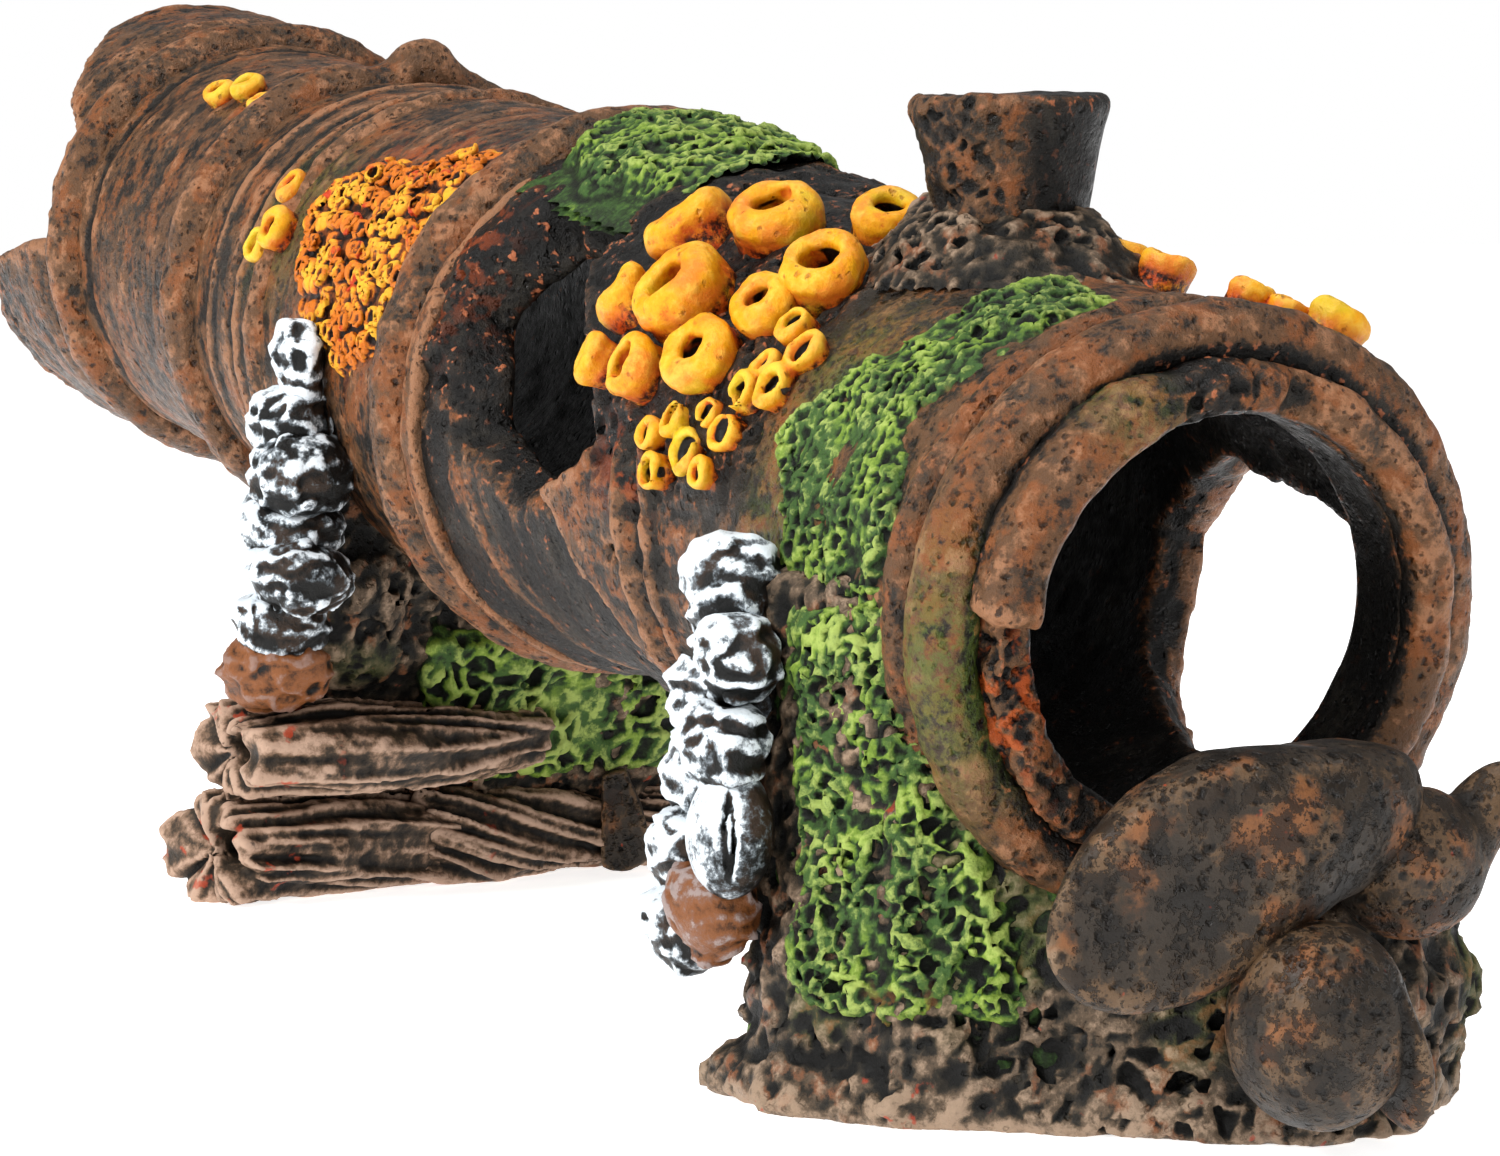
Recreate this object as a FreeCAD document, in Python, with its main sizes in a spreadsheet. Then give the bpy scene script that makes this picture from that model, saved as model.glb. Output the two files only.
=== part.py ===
import FreeCAD, Part
import Sketcher
import math
import os

from FreeCAD import Placement, Rotation, Vector

# Sunken broken cannon, an aquarium cave ornament in painted cast resin.
# World frame: +Z up, +X towards the muzzle, floor at Z = 0, millimetres.
# Barrel frame: origin at the centre of the muzzle ring, local +X runs back along the bore,
# local +Z is the top of the barrel and local +Y is the windowed side (world -Y).

doc = FreeCAD.newDocument("sunken_cannon_cave")
sheet = doc.addObject("Spreadsheet::Sheet", "dims")

DIMENSIONS = {
    # barrel axis
    "muzzle_x": 124.5,
    "muzzle_z": 44.5,
    "barrel_pitch": 6.5,
    # stations along the bore, measured back from the muzzle ring
    "lip_front": -7.5,
    "lip_back": -2.6,
    "neck_end": 4.0,
    "front_end": 92.0,
    "collar_start": 62.0,
    "rear_start": 117.0,
    "rear_end": 279.0,
    # radii
    "bore_radius": 21.0,
    "mouth_radius": 18.2,
    "neck_radius": 20.8,
    "lip_radius": 23.2,
    "front_radius_muzzle": 25.2,
    "front_radius_break": 28.6,
    "collar_radius": 26.4,
    "rear_radius_break": 28.2,
    "rear_radius_breech": 25.6,
    "flare_foot": 247.5,
    "flare_start": 252.0,
    "flare_radius": 28.2,
    # ring mouldings: station, crest radius, half width
    "muzzle_ring_at": 0.0,
    "muzzle_ring_crest": 27.5,
    "muzzle_ring_half": 3.8,
    "neck_ring_at": 6.6,
    "neck_ring_crest": 26.8,
    "neck_ring_half": 2.0,
    "break_hoop_at": 121.0,
    "break_hoop_crest": 30.9,
    "break_hoop_half": 4.0,
    "second_hoop_at": 197.6,
    "second_hoop_crest": 28.6,
    "second_hoop_half": 3.6,
    "waist_band_at": 170.0,
    "waist_band_crest": 27.6,
    "waist_band_half": 2.2,
    "breech_ring_at": 243.0,
    "breech_ring_crest": 28.6,
    "breech_ring_half": 3.6,
    # trunnion stub on the top of the front half
    "stub_station": 38.0,
    "stub_foot_radius": 7.4,
    "stub_head_radius": 9.8,
    "stub_height": 14.5,
    "stub_seat": 27.0,
    "stub_collar_radius": 14.0,
    "stub_collar_height": 6.0,
    # legs
    "moss_skin": 1.6,
    "boulder_long": 17.6,
    "boulder_wide": 10.0,
    "boulder_thick": 7.5,
    "lobe_long": 9.0,
    "lobe_wide": 8.5,
    "lobe_thick": 6.5,
    "ball_radius": 8.2,
    # growths
    "growth_sink": 0.6,
    "cup_foot": 1.9,
    "crust_thickness": 1.6,
    "moss_thickness": 1.4,
    "flange_thickness": 2.2,
    # driftwood chip
    "chip_thick": 4.0,
    "chip_wide": 6.0,
    "chip_tall": 9.0,
}
for row, (alias, value) in enumerate(DIMENSIONS.items(), start=1):
    sheet.set(f"A{row}", alias)
    sheet.set(f"B{row}", str(value))
    sheet.setAlias(f"B{row}", alias)
doc.recompute()

nodes = []


def dim(alias):
    """Value of one driving dimension."""
    return float(getattr(sheet, alias))


def keep(feature, label):
    """Register a finished sub-part under its node name."""
    feature.Label = label
    nodes.append(feature)
    return feature


def barrel_frame():
    """Placement that carries the barrel frame into the world."""
    turn = Rotation(Vector(0, 0, 1), 180) * Rotation(Vector(0, 1, 0), -dim("barrel_pitch"))
    return Placement(Vector(dim("muzzle_x"), 0, dim("muzzle_z")), turn)


def outer_radius(station):
    """Radius of the plain barrel wall at a station."""
    if station < dim("front_end"):
        start, end = dim("neck_end"), dim("front_end")
        low, high = dim("front_radius_muzzle"), dim("front_radius_break")
    else:
        start, end = dim("rear_start"), dim("flare_foot")
        low, high = dim("rear_radius_break"), dim("rear_radius_breech")
    share = min(1.0, max(0.0, (station - start) / (end - start)))
    return low + (high - low) * share


def on_barrel(station, angle, lift=0.0, tilt=0.0):
    """Placement on the barrel wall: local Z points outwards, angle runs from the top to +Y."""
    roll = Rotation(Vector(1, 0, 0), -angle)
    seat = roll.multVec(Vector(0, 0, outer_radius(station) + lift)) + Vector(station, 0, 0)
    return barrel_frame() * Placement(seat, roll * Rotation(Vector(0, 1, 0), tilt))


def origin_plane(body, role):
    """Origin plane of a body, found by its role."""
    for feature in body.Origin.OriginFeatures:
        if feature.Role == role:
            return feature
    raise ValueError(role)


def closed_sketch(body, name, role, points):
    """Closed polygon sketch on an origin plane of the body."""
    sketch = body.newObject("Sketcher::SketchObject", name)
    sketch.AttachmentSupport = [(origin_plane(body, role), "")]
    sketch.MapMode = "FlatFace"
    corners = [Vector(first, second, 0) for first, second in points]
    for start, end in zip(corners, corners[1:] + corners[:1]):
        sketch.addGeometry(Part.LineSegment(start, end), False)
    return sketch


def bound_profile(body, name, corners):
    """Closed sketch whose corners follow (station, radius) dimensions of the sheet."""
    values = [(dim(station), dim(radius)) for station, radius in corners]
    sketch = closed_sketch(body, name, "XZ_Plane", values)
    count = len(corners)
    for index in range(count):
        following = (index + 1) % count
        sketch.addConstraint(Sketcher.Constraint("Coincident", index, 2, following, 1))
    for index, (station, radius) in enumerate(corners):
        place = sketch.addConstraint(
            Sketcher.Constraint("DistanceX", -1, 1, index, 1, values[index][0]))
        sketch.setExpression(f"Constraints[{place}]", f"dims.{station}")
        place = sketch.addConstraint(
            Sketcher.Constraint("DistanceY", -1, 1, index, 1, values[index][1]))
        sketch.setExpression(f"Constraints[{place}]", f"dims.{radius}")
    return sketch


def turned_body(name, corners):
    """Body turned about the bore axis from a bound profile."""
    body = doc.addObject("PartDesign::Body", name)
    profile = bound_profile(body, f"{name}_profile", corners)
    turning = body.newObject("PartDesign::Revolution", f"{name}_turning")
    turning.Profile = profile
    turning.ReferenceAxis = (profile, ["H_Axis"])
    turning.Angle = 360
    body.Tip = turning
    doc.recompute()
    return body


def side_cut(body, name, side, outline):
    """Break away one side of a tube through a ragged outline of (station, height) points."""
    before = body.Shape.Volume
    sketch = closed_sketch(body, f"{name}_outline", "XZ_Plane", outline)
    pocket = body.newObject("PartDesign::Pocket", name)
    pocket.Profile = sketch
    pocket.Type = "ThroughAll"
    pocket.Reversed = side < 0
    body.Tip = pocket
    doc.recompute()
    if body.Shape.Volume > before - 1.0:
        raise RuntimeError(f"{name} removed nothing")


# Ragged outlines, (station, height above the bore axis).
BREECH_NEAR = [(285, 30), (270, 30), (262, 20), (250, 12), (250, 0), (268, -5), (276, -16), (272, -30),
               (285, -30)]
BREECH_FAR = [(285, 30), (271, 30), (266, 22), (259, 15), (263, 7), (258, 0), (266, -6),
              (273, -13), (270, -20), (272, -30), (285, -30)]
WINDOW_NEAR = [(78, 19), (93, 23), (105, 20), (109, 12), (104, 0), (92, -4), (72, 0), (69, 4), (76, 14)]
FLAP_NEAR = [(100, 32), (92, 32), (89, 24), (86, 19), (78, 14), (72, 8), (70, 3), (74, 0), (80, -2.5),
             (77, -6), (75, -9), (71, -13), (67, -17), (66, -23), (63, -32), (100, -32)]
FLAP_FAR = [(100, 32), (92, 32), (90, 22), (83, 16), (86, 8), (79, 2), (82, -5), (74, -12),
            (71, -20), (63, -32), (100, -32)]
WINDOW_FAR = [(30, 9.5), (14, 10.5), (7, 7), (5, 2), (5, -8), (6, -13), (11, -17), (27, -17),
              (37, -13.5), (43, -9), (44.5, -2), (37, 4)]
LIP_GAP_NEAR = [(-12, 2), (0, 2), (0, -19), (-12, -19)]


def barrel_tubes():
    """The two halves of the cast barrel, the collar that joins them and the mouth."""
    frame = barrel_frame()
    rear = turned_body("rear_barrel", [
        ("rear_start", "bore_radius"), ("rear_end", "bore_radius"),
        ("rear_end", "flare_radius"), ("flare_start", "flare_radius"),
        ("flare_foot", "rear_radius_breech"), ("rear_start", "rear_radius_break")])
    side_cut(rear, "breech_break_near", 1, BREECH_NEAR)
    side_cut(rear, "breech_break_far", -1, BREECH_FAR)

    collar = turned_body("break_collar", [
        ("collar_start", "bore_radius"), ("rear_start", "bore_radius"),
        ("rear_start", "collar_radius"), ("collar_start", "collar_radius")])
    side_cut(collar, "near_window", 1, WINDOW_NEAR)

    front = turned_body("front_barrel", [
        ("neck_end", "bore_radius"), ("collar_start", "bore_radius"),
        ("collar_start", "collar_radius"), ("front_end", "collar_radius"),
        ("front_end", "front_radius_break"), ("neck_end", "front_radius_muzzle")])
    side_cut(front, "flap_near", 1, FLAP_NEAR)
    side_cut(front, "flap_far", -1, FLAP_FAR)
    side_cut(front, "far_window", -1, WINDOW_FAR)

    neck = turned_body("muzzle_neck", [
        ("lip_front", "mouth_radius"), ("neck_end", "mouth_radius"),
        ("neck_end", "neck_radius"), ("lip_front", "neck_radius")])
    lip = turned_body("muzzle_lip", [
        ("lip_front", "neck_radius"), ("lip_back", "neck_radius"),
        ("lip_back", "lip_radius"), ("lip_front", "lip_radius")])
    side_cut(lip, "lip_break", 1, LIP_GAP_NEAR)
    for body in (rear, collar, front, neck, lip):
        body.Placement = frame
        keep(body, body.Name)


def wall_cone(name, start, end):
    """Solid envelope of the barrel wall between two stations, in the barrel frame."""
    cone = doc.addObject("Part::Cone", name)
    cone.Radius1 = outer_radius(start)
    cone.Radius2 = outer_radius(end)
    cone.Height = end - start
    upright = Rotation(Vector(0, 1, 0), 90)
    cone.Placement = barrel_frame() * Placement(Vector(start, 0, 0), upright)
    return cone


def ring_moulding(name, inner_alias=None):
    """Half-round ring moulding that sits on the barrel wall."""
    station = dim(f"{name}_at")
    half = dim(f"{name}_half")
    torus = doc.addObject("Part::Torus", f"{name}_torus")
    torus.setExpression("Radius1", f"dims.{name}_crest - dims.{name}_half")
    torus.setExpression("Radius2", f"dims.{name}_half")
    across = Rotation(Vector(0, 1, 0), 90)
    torus.Placement = barrel_frame() * Placement(Vector(station, 0, 0), across)
    core = wall_cone(f"{name}_core", station - 2 * half, station + 2 * half)
    if inner_alias:
        core.setExpression("Radius1", f"dims.{inner_alias}")
        core.setExpression("Radius2", f"dims.{inner_alias}")
    ring = doc.addObject("Part::Cut", name)
    ring.Base = torus
    ring.Tool = core
    return keep(ring, name)


def ring_mouldings():
    """All ring mouldings, muzzle to breech."""
    ring_moulding("muzzle_ring", "neck_radius")
    for name in ("neck_ring", "break_hoop", "waist_band", "second_hoop", "breech_ring"):
        ring_moulding(name)


def wall_patch(name, limits, thickness_alias, base=None):
    """Thin curved patch on the barrel wall between two stations and two angles."""
    start, end, angle_from, angle_to = limits
    body = doc.addObject("PartDesign::Body", name)
    low = base if base else outer_radius(start)
    high = base if base else outer_radius(end)
    thick = dim(thickness_alias)
    profile = closed_sketch(body, f"{name}_profile", "XZ_Plane", [
        (start, low), (end, high), (end - thick / 2, high + thick), (start + thick / 2, low + thick)])
    turning = body.newObject("PartDesign::Revolution", f"{name}_turning")
    turning.Profile = profile
    turning.ReferenceAxis = (profile, ["H_Axis"])
    turning.Angle = angle_to - angle_from
    body.Tip = turning
    doc.recompute()
    middle = body.Shape.CenterOfGravity
    found = math.degrees(math.atan2(middle.y, middle.z))
    wanted = (angle_from + angle_to) / 2
    body.Placement = barrel_frame() * Placement(Vector(), Rotation(Vector(1, 0, 0), found - wanted))
    return keep(body, name)


# Patches on the barrel: first and last station, first and last angle from the top in degrees.
MOSS_BAND = (9.5, 33, 8, 128)
TOP_MOSS = (90, 116, -18, 24)
CORAL_CRUST = (126, 158, 34, 86)
BREAK_FLANGE = (113, 116.8, 62, 168)


def patches():
    """Thin growths and rough bands that follow the barrel wall."""
    wall_patch("moss_band", MOSS_BAND, "moss_thickness")
    wall_patch("top_moss", TOP_MOSS, "moss_thickness", dim("front_radius_break"))
    wall_patch("coral_crust", CORAL_CRUST, "crust_thickness")
    wall_patch("break_flange", BREAK_FLANGE, "flange_thickness", dim("collar_radius"))


def trunnion():
    """Broken, flared stub on top of the front half, and the rubble round its foot."""
    seat = on_barrel(dim("stub_station"), 0, dim("stub_seat") - outer_radius(dim("stub_station")))
    envelope = wall_cone("stub_envelope", 5, dim("front_end"))
    cone = doc.addObject("Part::Cone", "stub_cone")
    cone.setExpression("Radius1", "dims.stub_foot_radius")
    cone.setExpression("Radius2", "dims.stub_head_radius")
    cone.setExpression("Height", "dims.stub_height")
    upright = Placement(seat.Base, Rotation())
    cone.Placement = upright
    stub = doc.addObject("Part::Cut", "trunnion_stub")
    stub.Base = cone
    stub.Tool = envelope
    keep(stub, "trunnion_stub")

    mound = doc.addObject("Part::Cone", "stub_mound")
    mound.setExpression("Radius1", "dims.stub_collar_radius")
    mound.setExpression("Radius2", "dims.stub_foot_radius + 0.6")
    mound.setExpression("Height", "dims.stub_collar_height")
    mound.Placement = upright
    cores = doc.addObject("Part::MultiFuse", "stub_mound_cores")
    cores.Shapes = [envelope, cone]
    collar = doc.addObject("Part::Cut", "stub_collar")
    collar.Base = mound
    collar.Tool = cores
    keep(collar, "stub_collar")


def lofted_rock(name, levels):
    """Rough stone lofted through level outlines of (x, y) points, bottom first."""
    body = doc.addObject("PartDesign::Body", name)
    sketches = []
    for index, (height, outline) in enumerate(levels):
        sketch = closed_sketch(body, f"{name}_level_{index}", "XY_Plane", outline)
        sketch.AttachmentOffset = Placement(Vector(0, 0, height), Rotation())
        sketches.append(sketch)
    loft = body.newObject("PartDesign::AdditiveLoft", f"{name}_loft")
    loft.Profile = sketches[0]
    loft.Sections = sketches[1:]
    loft.Ruled = True
    loft.Closed = False
    body.Tip = loft
    doc.recompute()
    return body


def ellipsoid(name, centre, radii, turn):
    """Ellipsoid stone; radii are named dimensions along its own X, Y and Z."""
    stone = doc.addObject("Part::Ellipsoid", name)
    stone.setExpression("Radius1", f"dims.{radii[2]}")
    stone.setExpression("Radius2", f"dims.{radii[0]}")
    stone.setExpression("Radius3", f"dims.{radii[1]}")
    stone.Angle1 = -90
    stone.Angle2 = 90
    stone.Angle3 = 360
    stone.Placement = Placement(Vector(*centre), turn)
    return stone


def cut_by(name, base, tools):
    """Base minus all tools, kept as a sub-part."""
    tool = tools[0]
    if len(tools) > 1:
        tool = doc.addObject("Part::MultiFuse", f"{name}_tools")
        tool.Shapes = tools
    result = doc.addObject("Part::Cut", name)
    result.Base = base
    result.Tool = tool
    return keep(result, name)


# Centres of the stones in front of the muzzle and their turns about X in degrees.
BOULDER_CENTRE, BOULDER_TURN = (139.5, -6.4, 24.6), -60
LOBE_CENTRE, LOBE_TURN = (139.0, 12.6, 23.8), 20
BALL_CENTRE = (145.0, 0.5, 11.5)

# Leg outlines, (height, corners) from the floor up.
FRONT_LEG = [
    (0.0, [(93, -33), (106, -33.5), (119, -27), (129, -12), (141, 3), (139, 15), (127, 26),
           (112, 34), (98, 33), (92, 12), (90, -12)]),
    (12.0, [(94, -32), (107, -32), (119, -25.5), (129, -12), (139, 3), (138, 17), (130, 28),
            (114, 34), (99, 31), (94, 12), (92, -12)]),
    (26.0, [(95, -31.5), (107, -30.5), (118, -25), (126, -12), (132, 2), (133, 15), (127, 26),
            (113, 31), (100, 27), (97, 11), (95, -12)]),
    (46.0, [(96, -31), (106, -30), (113, -28.5), (117, -26), (118, -22), (117, -18), (113, -16),
            (108, -15), (103, -15), (98, -17), (96, -22)]),
]
REAR_LEG = [
    (0.0, [(-66, -20), (-52, -26), (-44, -22), (-42, 0), (-42, 22), (-48, 30), (-62, 27), (-68, 2)]),
    (12.0, [(-62, -22), (-46, -27), (-37, -22), (-36, 0), (-36, 22), (-42, 29), (-58, 26), (-64, 2)]),
    (28.0, [(-50, -27), (-38, -29), (-25, -27), (-28, 0), (-30, 19), (-36, 27), (-50, 24), (-54, 2)]),
    (52.0, [(-34, -29.5), (-28, -30.5), (-22, -29), (-21, -22), (-22, -14), (-28, -10), (-33, -14),
            (-35, -22)]),
]


def legs_and_stones():
    """Rock legs, the boulder, its lobe and the cannonball in front of the muzzle."""
    boulder = ellipsoid("boulder_solid", BOULDER_CENTRE, ("boulder_thick", "boulder_wide",
                        "boulder_long"), Rotation(Vector(1, 0, 0), BOULDER_TURN))
    lobe = ellipsoid("lobe_solid", LOBE_CENTRE, ("lobe_thick", "lobe_wide", "lobe_long"),
                     Rotation(Vector(1, 0, 0), LOBE_TURN))
    ball = doc.addObject("Part::Sphere", "ball_solid")
    ball.setExpression("Radius", "dims.ball_radius")
    ball.Placement.Base = Vector(*BALL_CENTRE)
    bore = wall_cone("leg_bore_envelope", dim("neck_end"), dim("collar_start"))
    mouth = doc.addObject("Part::Cylinder", "mouth_envelope")
    mouth.setExpression("Radius", "dims.muzzle_ring_crest")
    mouth.setExpression("Height", "dims.neck_end - dims.lip_front")
    across = Rotation(Vector(0, 1, 0), 90)
    mouth.Placement = barrel_frame() * Placement(Vector(dim("lip_front"), 0, 0), across)

    cut_by("boulder", boulder, [mouth])
    cut_by("boulder_lobe", lobe, [boulder, mouth])
    cut_by("cannonball", ball, [boulder, lobe])
    rock = lofted_rock("front_rock", FRONT_LEG)
    growths = [doc.getObject(name) for name in ("moss_band", "neck_ring")]
    cut_by("front_rock_base", rock, [bore, mouth, boulder, lobe, ball] + growths)

    rear = lofted_rock("rear_rock", REAR_LEG)
    barrel = wall_cone("rear_envelope", dim("rear_start"), dim("breech_ring_at"))
    logs = driftwood()
    cut_by("rear_rock_leg", rear, [barrel] + logs)
    for log in logs[:2]:
        keep(log, log.Name)


# Log outlines, (x, z), with their stations, (distance, scale), feet and turns about Z in degrees.
LOG_LOWER = [(-7.0, 0.0), (-8.4, 5.5), (-6.2, 10.5), (0.0, 11.8), (6.2, 10.6), (8.4, 5.5),
             (7.0, 0.0)]
LOG_UPPER = [(-7.0, -4.6), (-8.5, 0.0), (-6.0, 4.6), (0.0, 5.4), (6.0, 4.4), (8.5, 0.0),
             (7.0, -4.4)]
LOG_ROOT = [(-4.5, -5.2), (-5.5, 1.5), (-2.0, 6.0), (3.0, 5.5), (5.0, 0.5), (3.5, -5.2)]
LOWER_STATIONS = [(0, 1.0), (14, 0.98), (32, 0.86), (52, 0.7)]
UPPER_STATIONS = [(0, 0.9), (14, 1.0), (28, 0.86), (40, 0.6)]
ROOT_STATIONS = [(0, 1.0), (20, 0.9), (49.5, 0.75)]
LOWER_FOOT, LOWER_TURN = (-33.2, -36.0, 0.0), 18
UPPER_FOOT, UPPER_TURN = (-31.0, -35.5, 17.0), 6
ROOT_FOOT, ROOT_TURN = (-39.5, -11.0, 5.2), 1


def log_body(name, outline, stations, foot, turn):
    """Driftwood log lofted along its own length from its near end."""
    body = doc.addObject("PartDesign::Body", name)
    sketches = []
    floor = min(z for _, z in outline)
    for index, (distance, scale) in enumerate(stations):
        points = [(x * scale, (z - floor) * scale + floor) for x, z in outline]
        sketch = closed_sketch(body, f"{name}_section_{index}", "XZ_Plane", points)
        sketch.AttachmentOffset = Placement(Vector(0, 0, -distance), Rotation())
        sketches.append(sketch)
    loft = body.newObject("PartDesign::AdditiveLoft", f"{name}_loft")
    loft.Profile = sketches[0]
    loft.Sections = sketches[1:]
    loft.Ruled = True
    body.Tip = loft
    body.Placement = Placement(Vector(*foot), Rotation(Vector(0, 0, 1), turn))
    doc.recompute()
    return body


def driftwood():
    """Three grained lengths of driftwood that cross under the rear half."""
    lower = log_body("driftwood_lower", LOG_LOWER, LOWER_STATIONS, LOWER_FOOT, LOWER_TURN)
    upper = log_body("driftwood_upper", LOG_UPPER, UPPER_STATIONS, UPPER_FOOT, UPPER_TURN)
    root = log_body("root_length", LOG_ROOT, ROOT_STATIONS, ROOT_FOOT, ROOT_TURN)
    return [lower, upper, cut_by("driftwood_root", root, [lower])]


CHIP_CORNER, CHIP_TURN = (-37.0, 13.0, 1.4), 14


def stone_chip(log):
    """Flat chip of stone that leans on the root."""
    chip = doc.addObject("Part::Box", "chip_block")
    chip.setExpression("Length", "dims.chip_thick")
    chip.setExpression("Width", "dims.chip_wide")
    chip.setExpression("Height", "dims.chip_tall")
    chip.Placement = Placement(Vector(*CHIP_CORNER), Rotation(Vector(1, 0, 0), CHIP_TURN))
    cut_by("stone_chip", chip, [log])


# Shell piles: centre (x, y, z), radius, half height and lean in degrees about X, top first.
FRONT_SHELLS = [
    ((95.5, -30.5, 45.2), 4.4, 3.6, 8),
    ((100.0, -31.0, 40.0), 4.8, 2.8, -6),
    ((95.0, -31.5, 35.8), 4.8, 2.6, 6),
    ((100.5, -32.0, 32.0), 5.0, 2.8, -8),
    ((95.0, -32.0, 28.4), 4.8, 2.6, 6),
    ((102.0, -32.5, 24.6), 5.0, 4.4, 0),
    ((93.5, -32.5, 22.0), 5.0, 2.8, 8),
    ((98.5, -32.8, 17.2), 5.0, 2.8, -6),
    ((92.0, -33.0, 14.8), 4.4, 2.6, 10),
]
REAR_SHELLS = [
    ((-20.5, -27.6, 60.4), 4.0, 3.8, 0),
    ((-22.5, -29.0, 54.0), 5.2, 2.8, 10),
    ((-20.0, -29.6, 48.8), 5.6, 2.8, -10),
    ((-23.0, -30.0, 43.2), 5.6, 2.8, 8),
    ((-20.0, -30.0, 37.8), 5.6, 2.8, -6),
    ((-24.5, -30.5, 32.2), 5.2, 2.8, 8),
    ((-26.0, -30.8, 26.6), 6.0, 2.4, 2),
]


def shell_body(name, radius, half_height):
    """Rounded shell turned about its own axis."""
    body = doc.addObject("PartDesign::Body", name)
    profile = closed_sketch(body, f"{name}_profile", "XZ_Plane", [
        (0.0, -half_height), (radius * 0.55, -half_height * 0.9), (radius * 0.9, -half_height * 0.5),
        (radius, 0.0), (radius * 0.9, half_height * 0.5), (radius * 0.55, half_height * 0.9),
        (0.0, half_height)])
    turning = body.newObject("PartDesign::Revolution", f"{name}_turning")
    turning.Profile = profile
    turning.ReferenceAxis = (profile, ["V_Axis"])
    turning.Angle = 360
    body.Tip = turning
    return body


def shell_pile(prefix, shells, supports):
    """Pile of rounded shells; each one is trimmed by the shell above it and the leg behind."""
    above = []
    for index, (centre, radius, half_height, lean) in enumerate(shells, start=1):
        body = shell_body(f"{prefix}_{index}_solid", radius, half_height)
        body.Placement = Placement(Vector(*centre), Rotation(Vector(1, 0, 0), lean))
        doc.recompute()
        cut_by(f"{prefix}_{index}", body, supports + above)
        above = [body]


# Large barnacles: station, angle, foot radius, height, hole radius, lean in degrees.
BARNACLES = [
    (62.0, 26.0, 4.6, 4.2, 2.0, 12),
    (51.5, 13.0, 3.4, 3.4, 1.6, 24),
    (72.0, 34.0, 4.6, 3.6, 2.0, -22),
    (45.5, 33.0, 4.0, 3.8, 1.9, 20),
    (61.5, 48.5, 4.9, 4.8, 2.0, 4),
    (48.0, 45.0, 3.2, 3.2, 1.4, 12),
    (71.5, 53.0, 3.3, 3.2, 1.5, -26),
    (51.5, 58.5, 3.9, 3.8, 1.6, 8),
    (62.0, 65.0, 3.4, 3.6, 1.5, 0),
    (70.0, 66.5, 2.6, 3.0, 1.2, -20),
]
CUPS = [
    (41.0, 46.0), (36.5, 50.0), (41.5, 55.0), (37.5, 58.5), (42.0, 62.0), (47.0, 68.0), (43.0, 70.0),
    (52.0, 71.0), (56.0, 75.5), (49.0, 76.0), (44.5, 79.0), (53.5, 82.0),
]
REAR_PAIRS = [
    (167.0, 64.5, 2.6), (171.0, 54.0, 2.0), (171.5, 70.0, 2.2), (217.0, 34.5, 2.2), (212.0, 30.0, 2.2),
    (205.0, 33.0, 1.5),
]
MOUTH_CUPS = [(30.0, -15.0, 2.2), (25.0, -19.0, 2.4), (12.0, -22.0, 2.0), (9.0, -27.0, 2.0),
              (5.5, -33.0, 3.0)]


def cup_body(name, foot, height, hole):
    """Domed barnacle with an open mouth, turned about its own axis."""
    body = doc.addObject("PartDesign::Body", name)
    rim = hole + (foot - hole) * 0.45
    profile = closed_sketch(body, f"{name}_profile", "XZ_Plane", [
        (0.0, -dim("growth_sink")), (foot, -dim("growth_sink")), (foot * 1.04, height * 0.35),
        (foot * 0.92, height * 0.75), (rim, height), (hole, height * 0.93),
        (hole * 0.8, height * 0.45), (0.0, height * 0.4)])
    turning = body.newObject("PartDesign::Revolution", f"{name}_turning")
    turning.Profile = profile
    turning.ReferenceAxis = (profile, ["V_Axis"])
    turning.Angle = 360
    body.Tip = turning
    return body


def large_barnacles():
    """Cluster of large barnacles on the shoulder of the front half."""
    wall = doc.getObject("stub_envelope")
    placed = []
    for index, (station, angle, foot, height, hole, lean) in enumerate(BARNACLES, start=1):
        body = cup_body(f"barnacle_{index:02d}_cup", foot, height, hole)
        body.Placement = on_barrel(station, angle, 0.4, lean)
        doc.recompute()
        cut_by(f"large_barnacle_{index:02d}", body, [wall] + placed)
        placed.append(body)


def cup_group(label, cups, base=None):
    """Small barnacles of one kind, kept together as separate solids in one node."""
    bodies = []
    for index, (station, angle, foot) in enumerate(cups, start=1):
        body = cup_body(f"{label}_cup_{index}", foot, foot * 1.1, foot * 0.45)
        lift = 0.3 if base is None else base - outer_radius(station)
        body.Placement = on_barrel(station, angle, lift)
        bodies.append(body)
    group = doc.addObject("Part::Compound", label)
    group.Links = bodies
    return keep(group, label)


def small_growths():
    """Small cups below the cluster, the pairs on the rear half and the row by the mouth."""
    cup_group("small_barnacles", [(station, angle, dim("cup_foot")) for station, angle in CUPS])
    cup_group("rear_barnacles", REAR_PAIRS)
    cup_group("mouth_barnacles", MOUTH_CUPS, dim("muzzle_ring_crest"))


def swollen(levels, amount):
    """Leg outlines pushed outwards by an amount."""
    swelled = []
    for height, outline in levels:
        middle_x = sum(x for x, _ in outline) / len(outline)
        middle_y = sum(y for _, y in outline) / len(outline)
        corners = []
        for x, y in outline:
            reach = math.hypot(x - middle_x, y - middle_y)
            scale = (reach + amount) / reach
            corners.append((middle_x + (x - middle_x) * scale, middle_y + (y - middle_y) * scale))
        swelled.append((height, corners))
    return swelled


# Boxes, (low corner, high corner), inside which moss covers each leg.
FRONT_MOSS_REGION = ((103, -40, 5), (126, -8, 41))
REAR_MOSS_REGION = ((-40, -14, 11.5), (-15, 24, 27.5))


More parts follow.
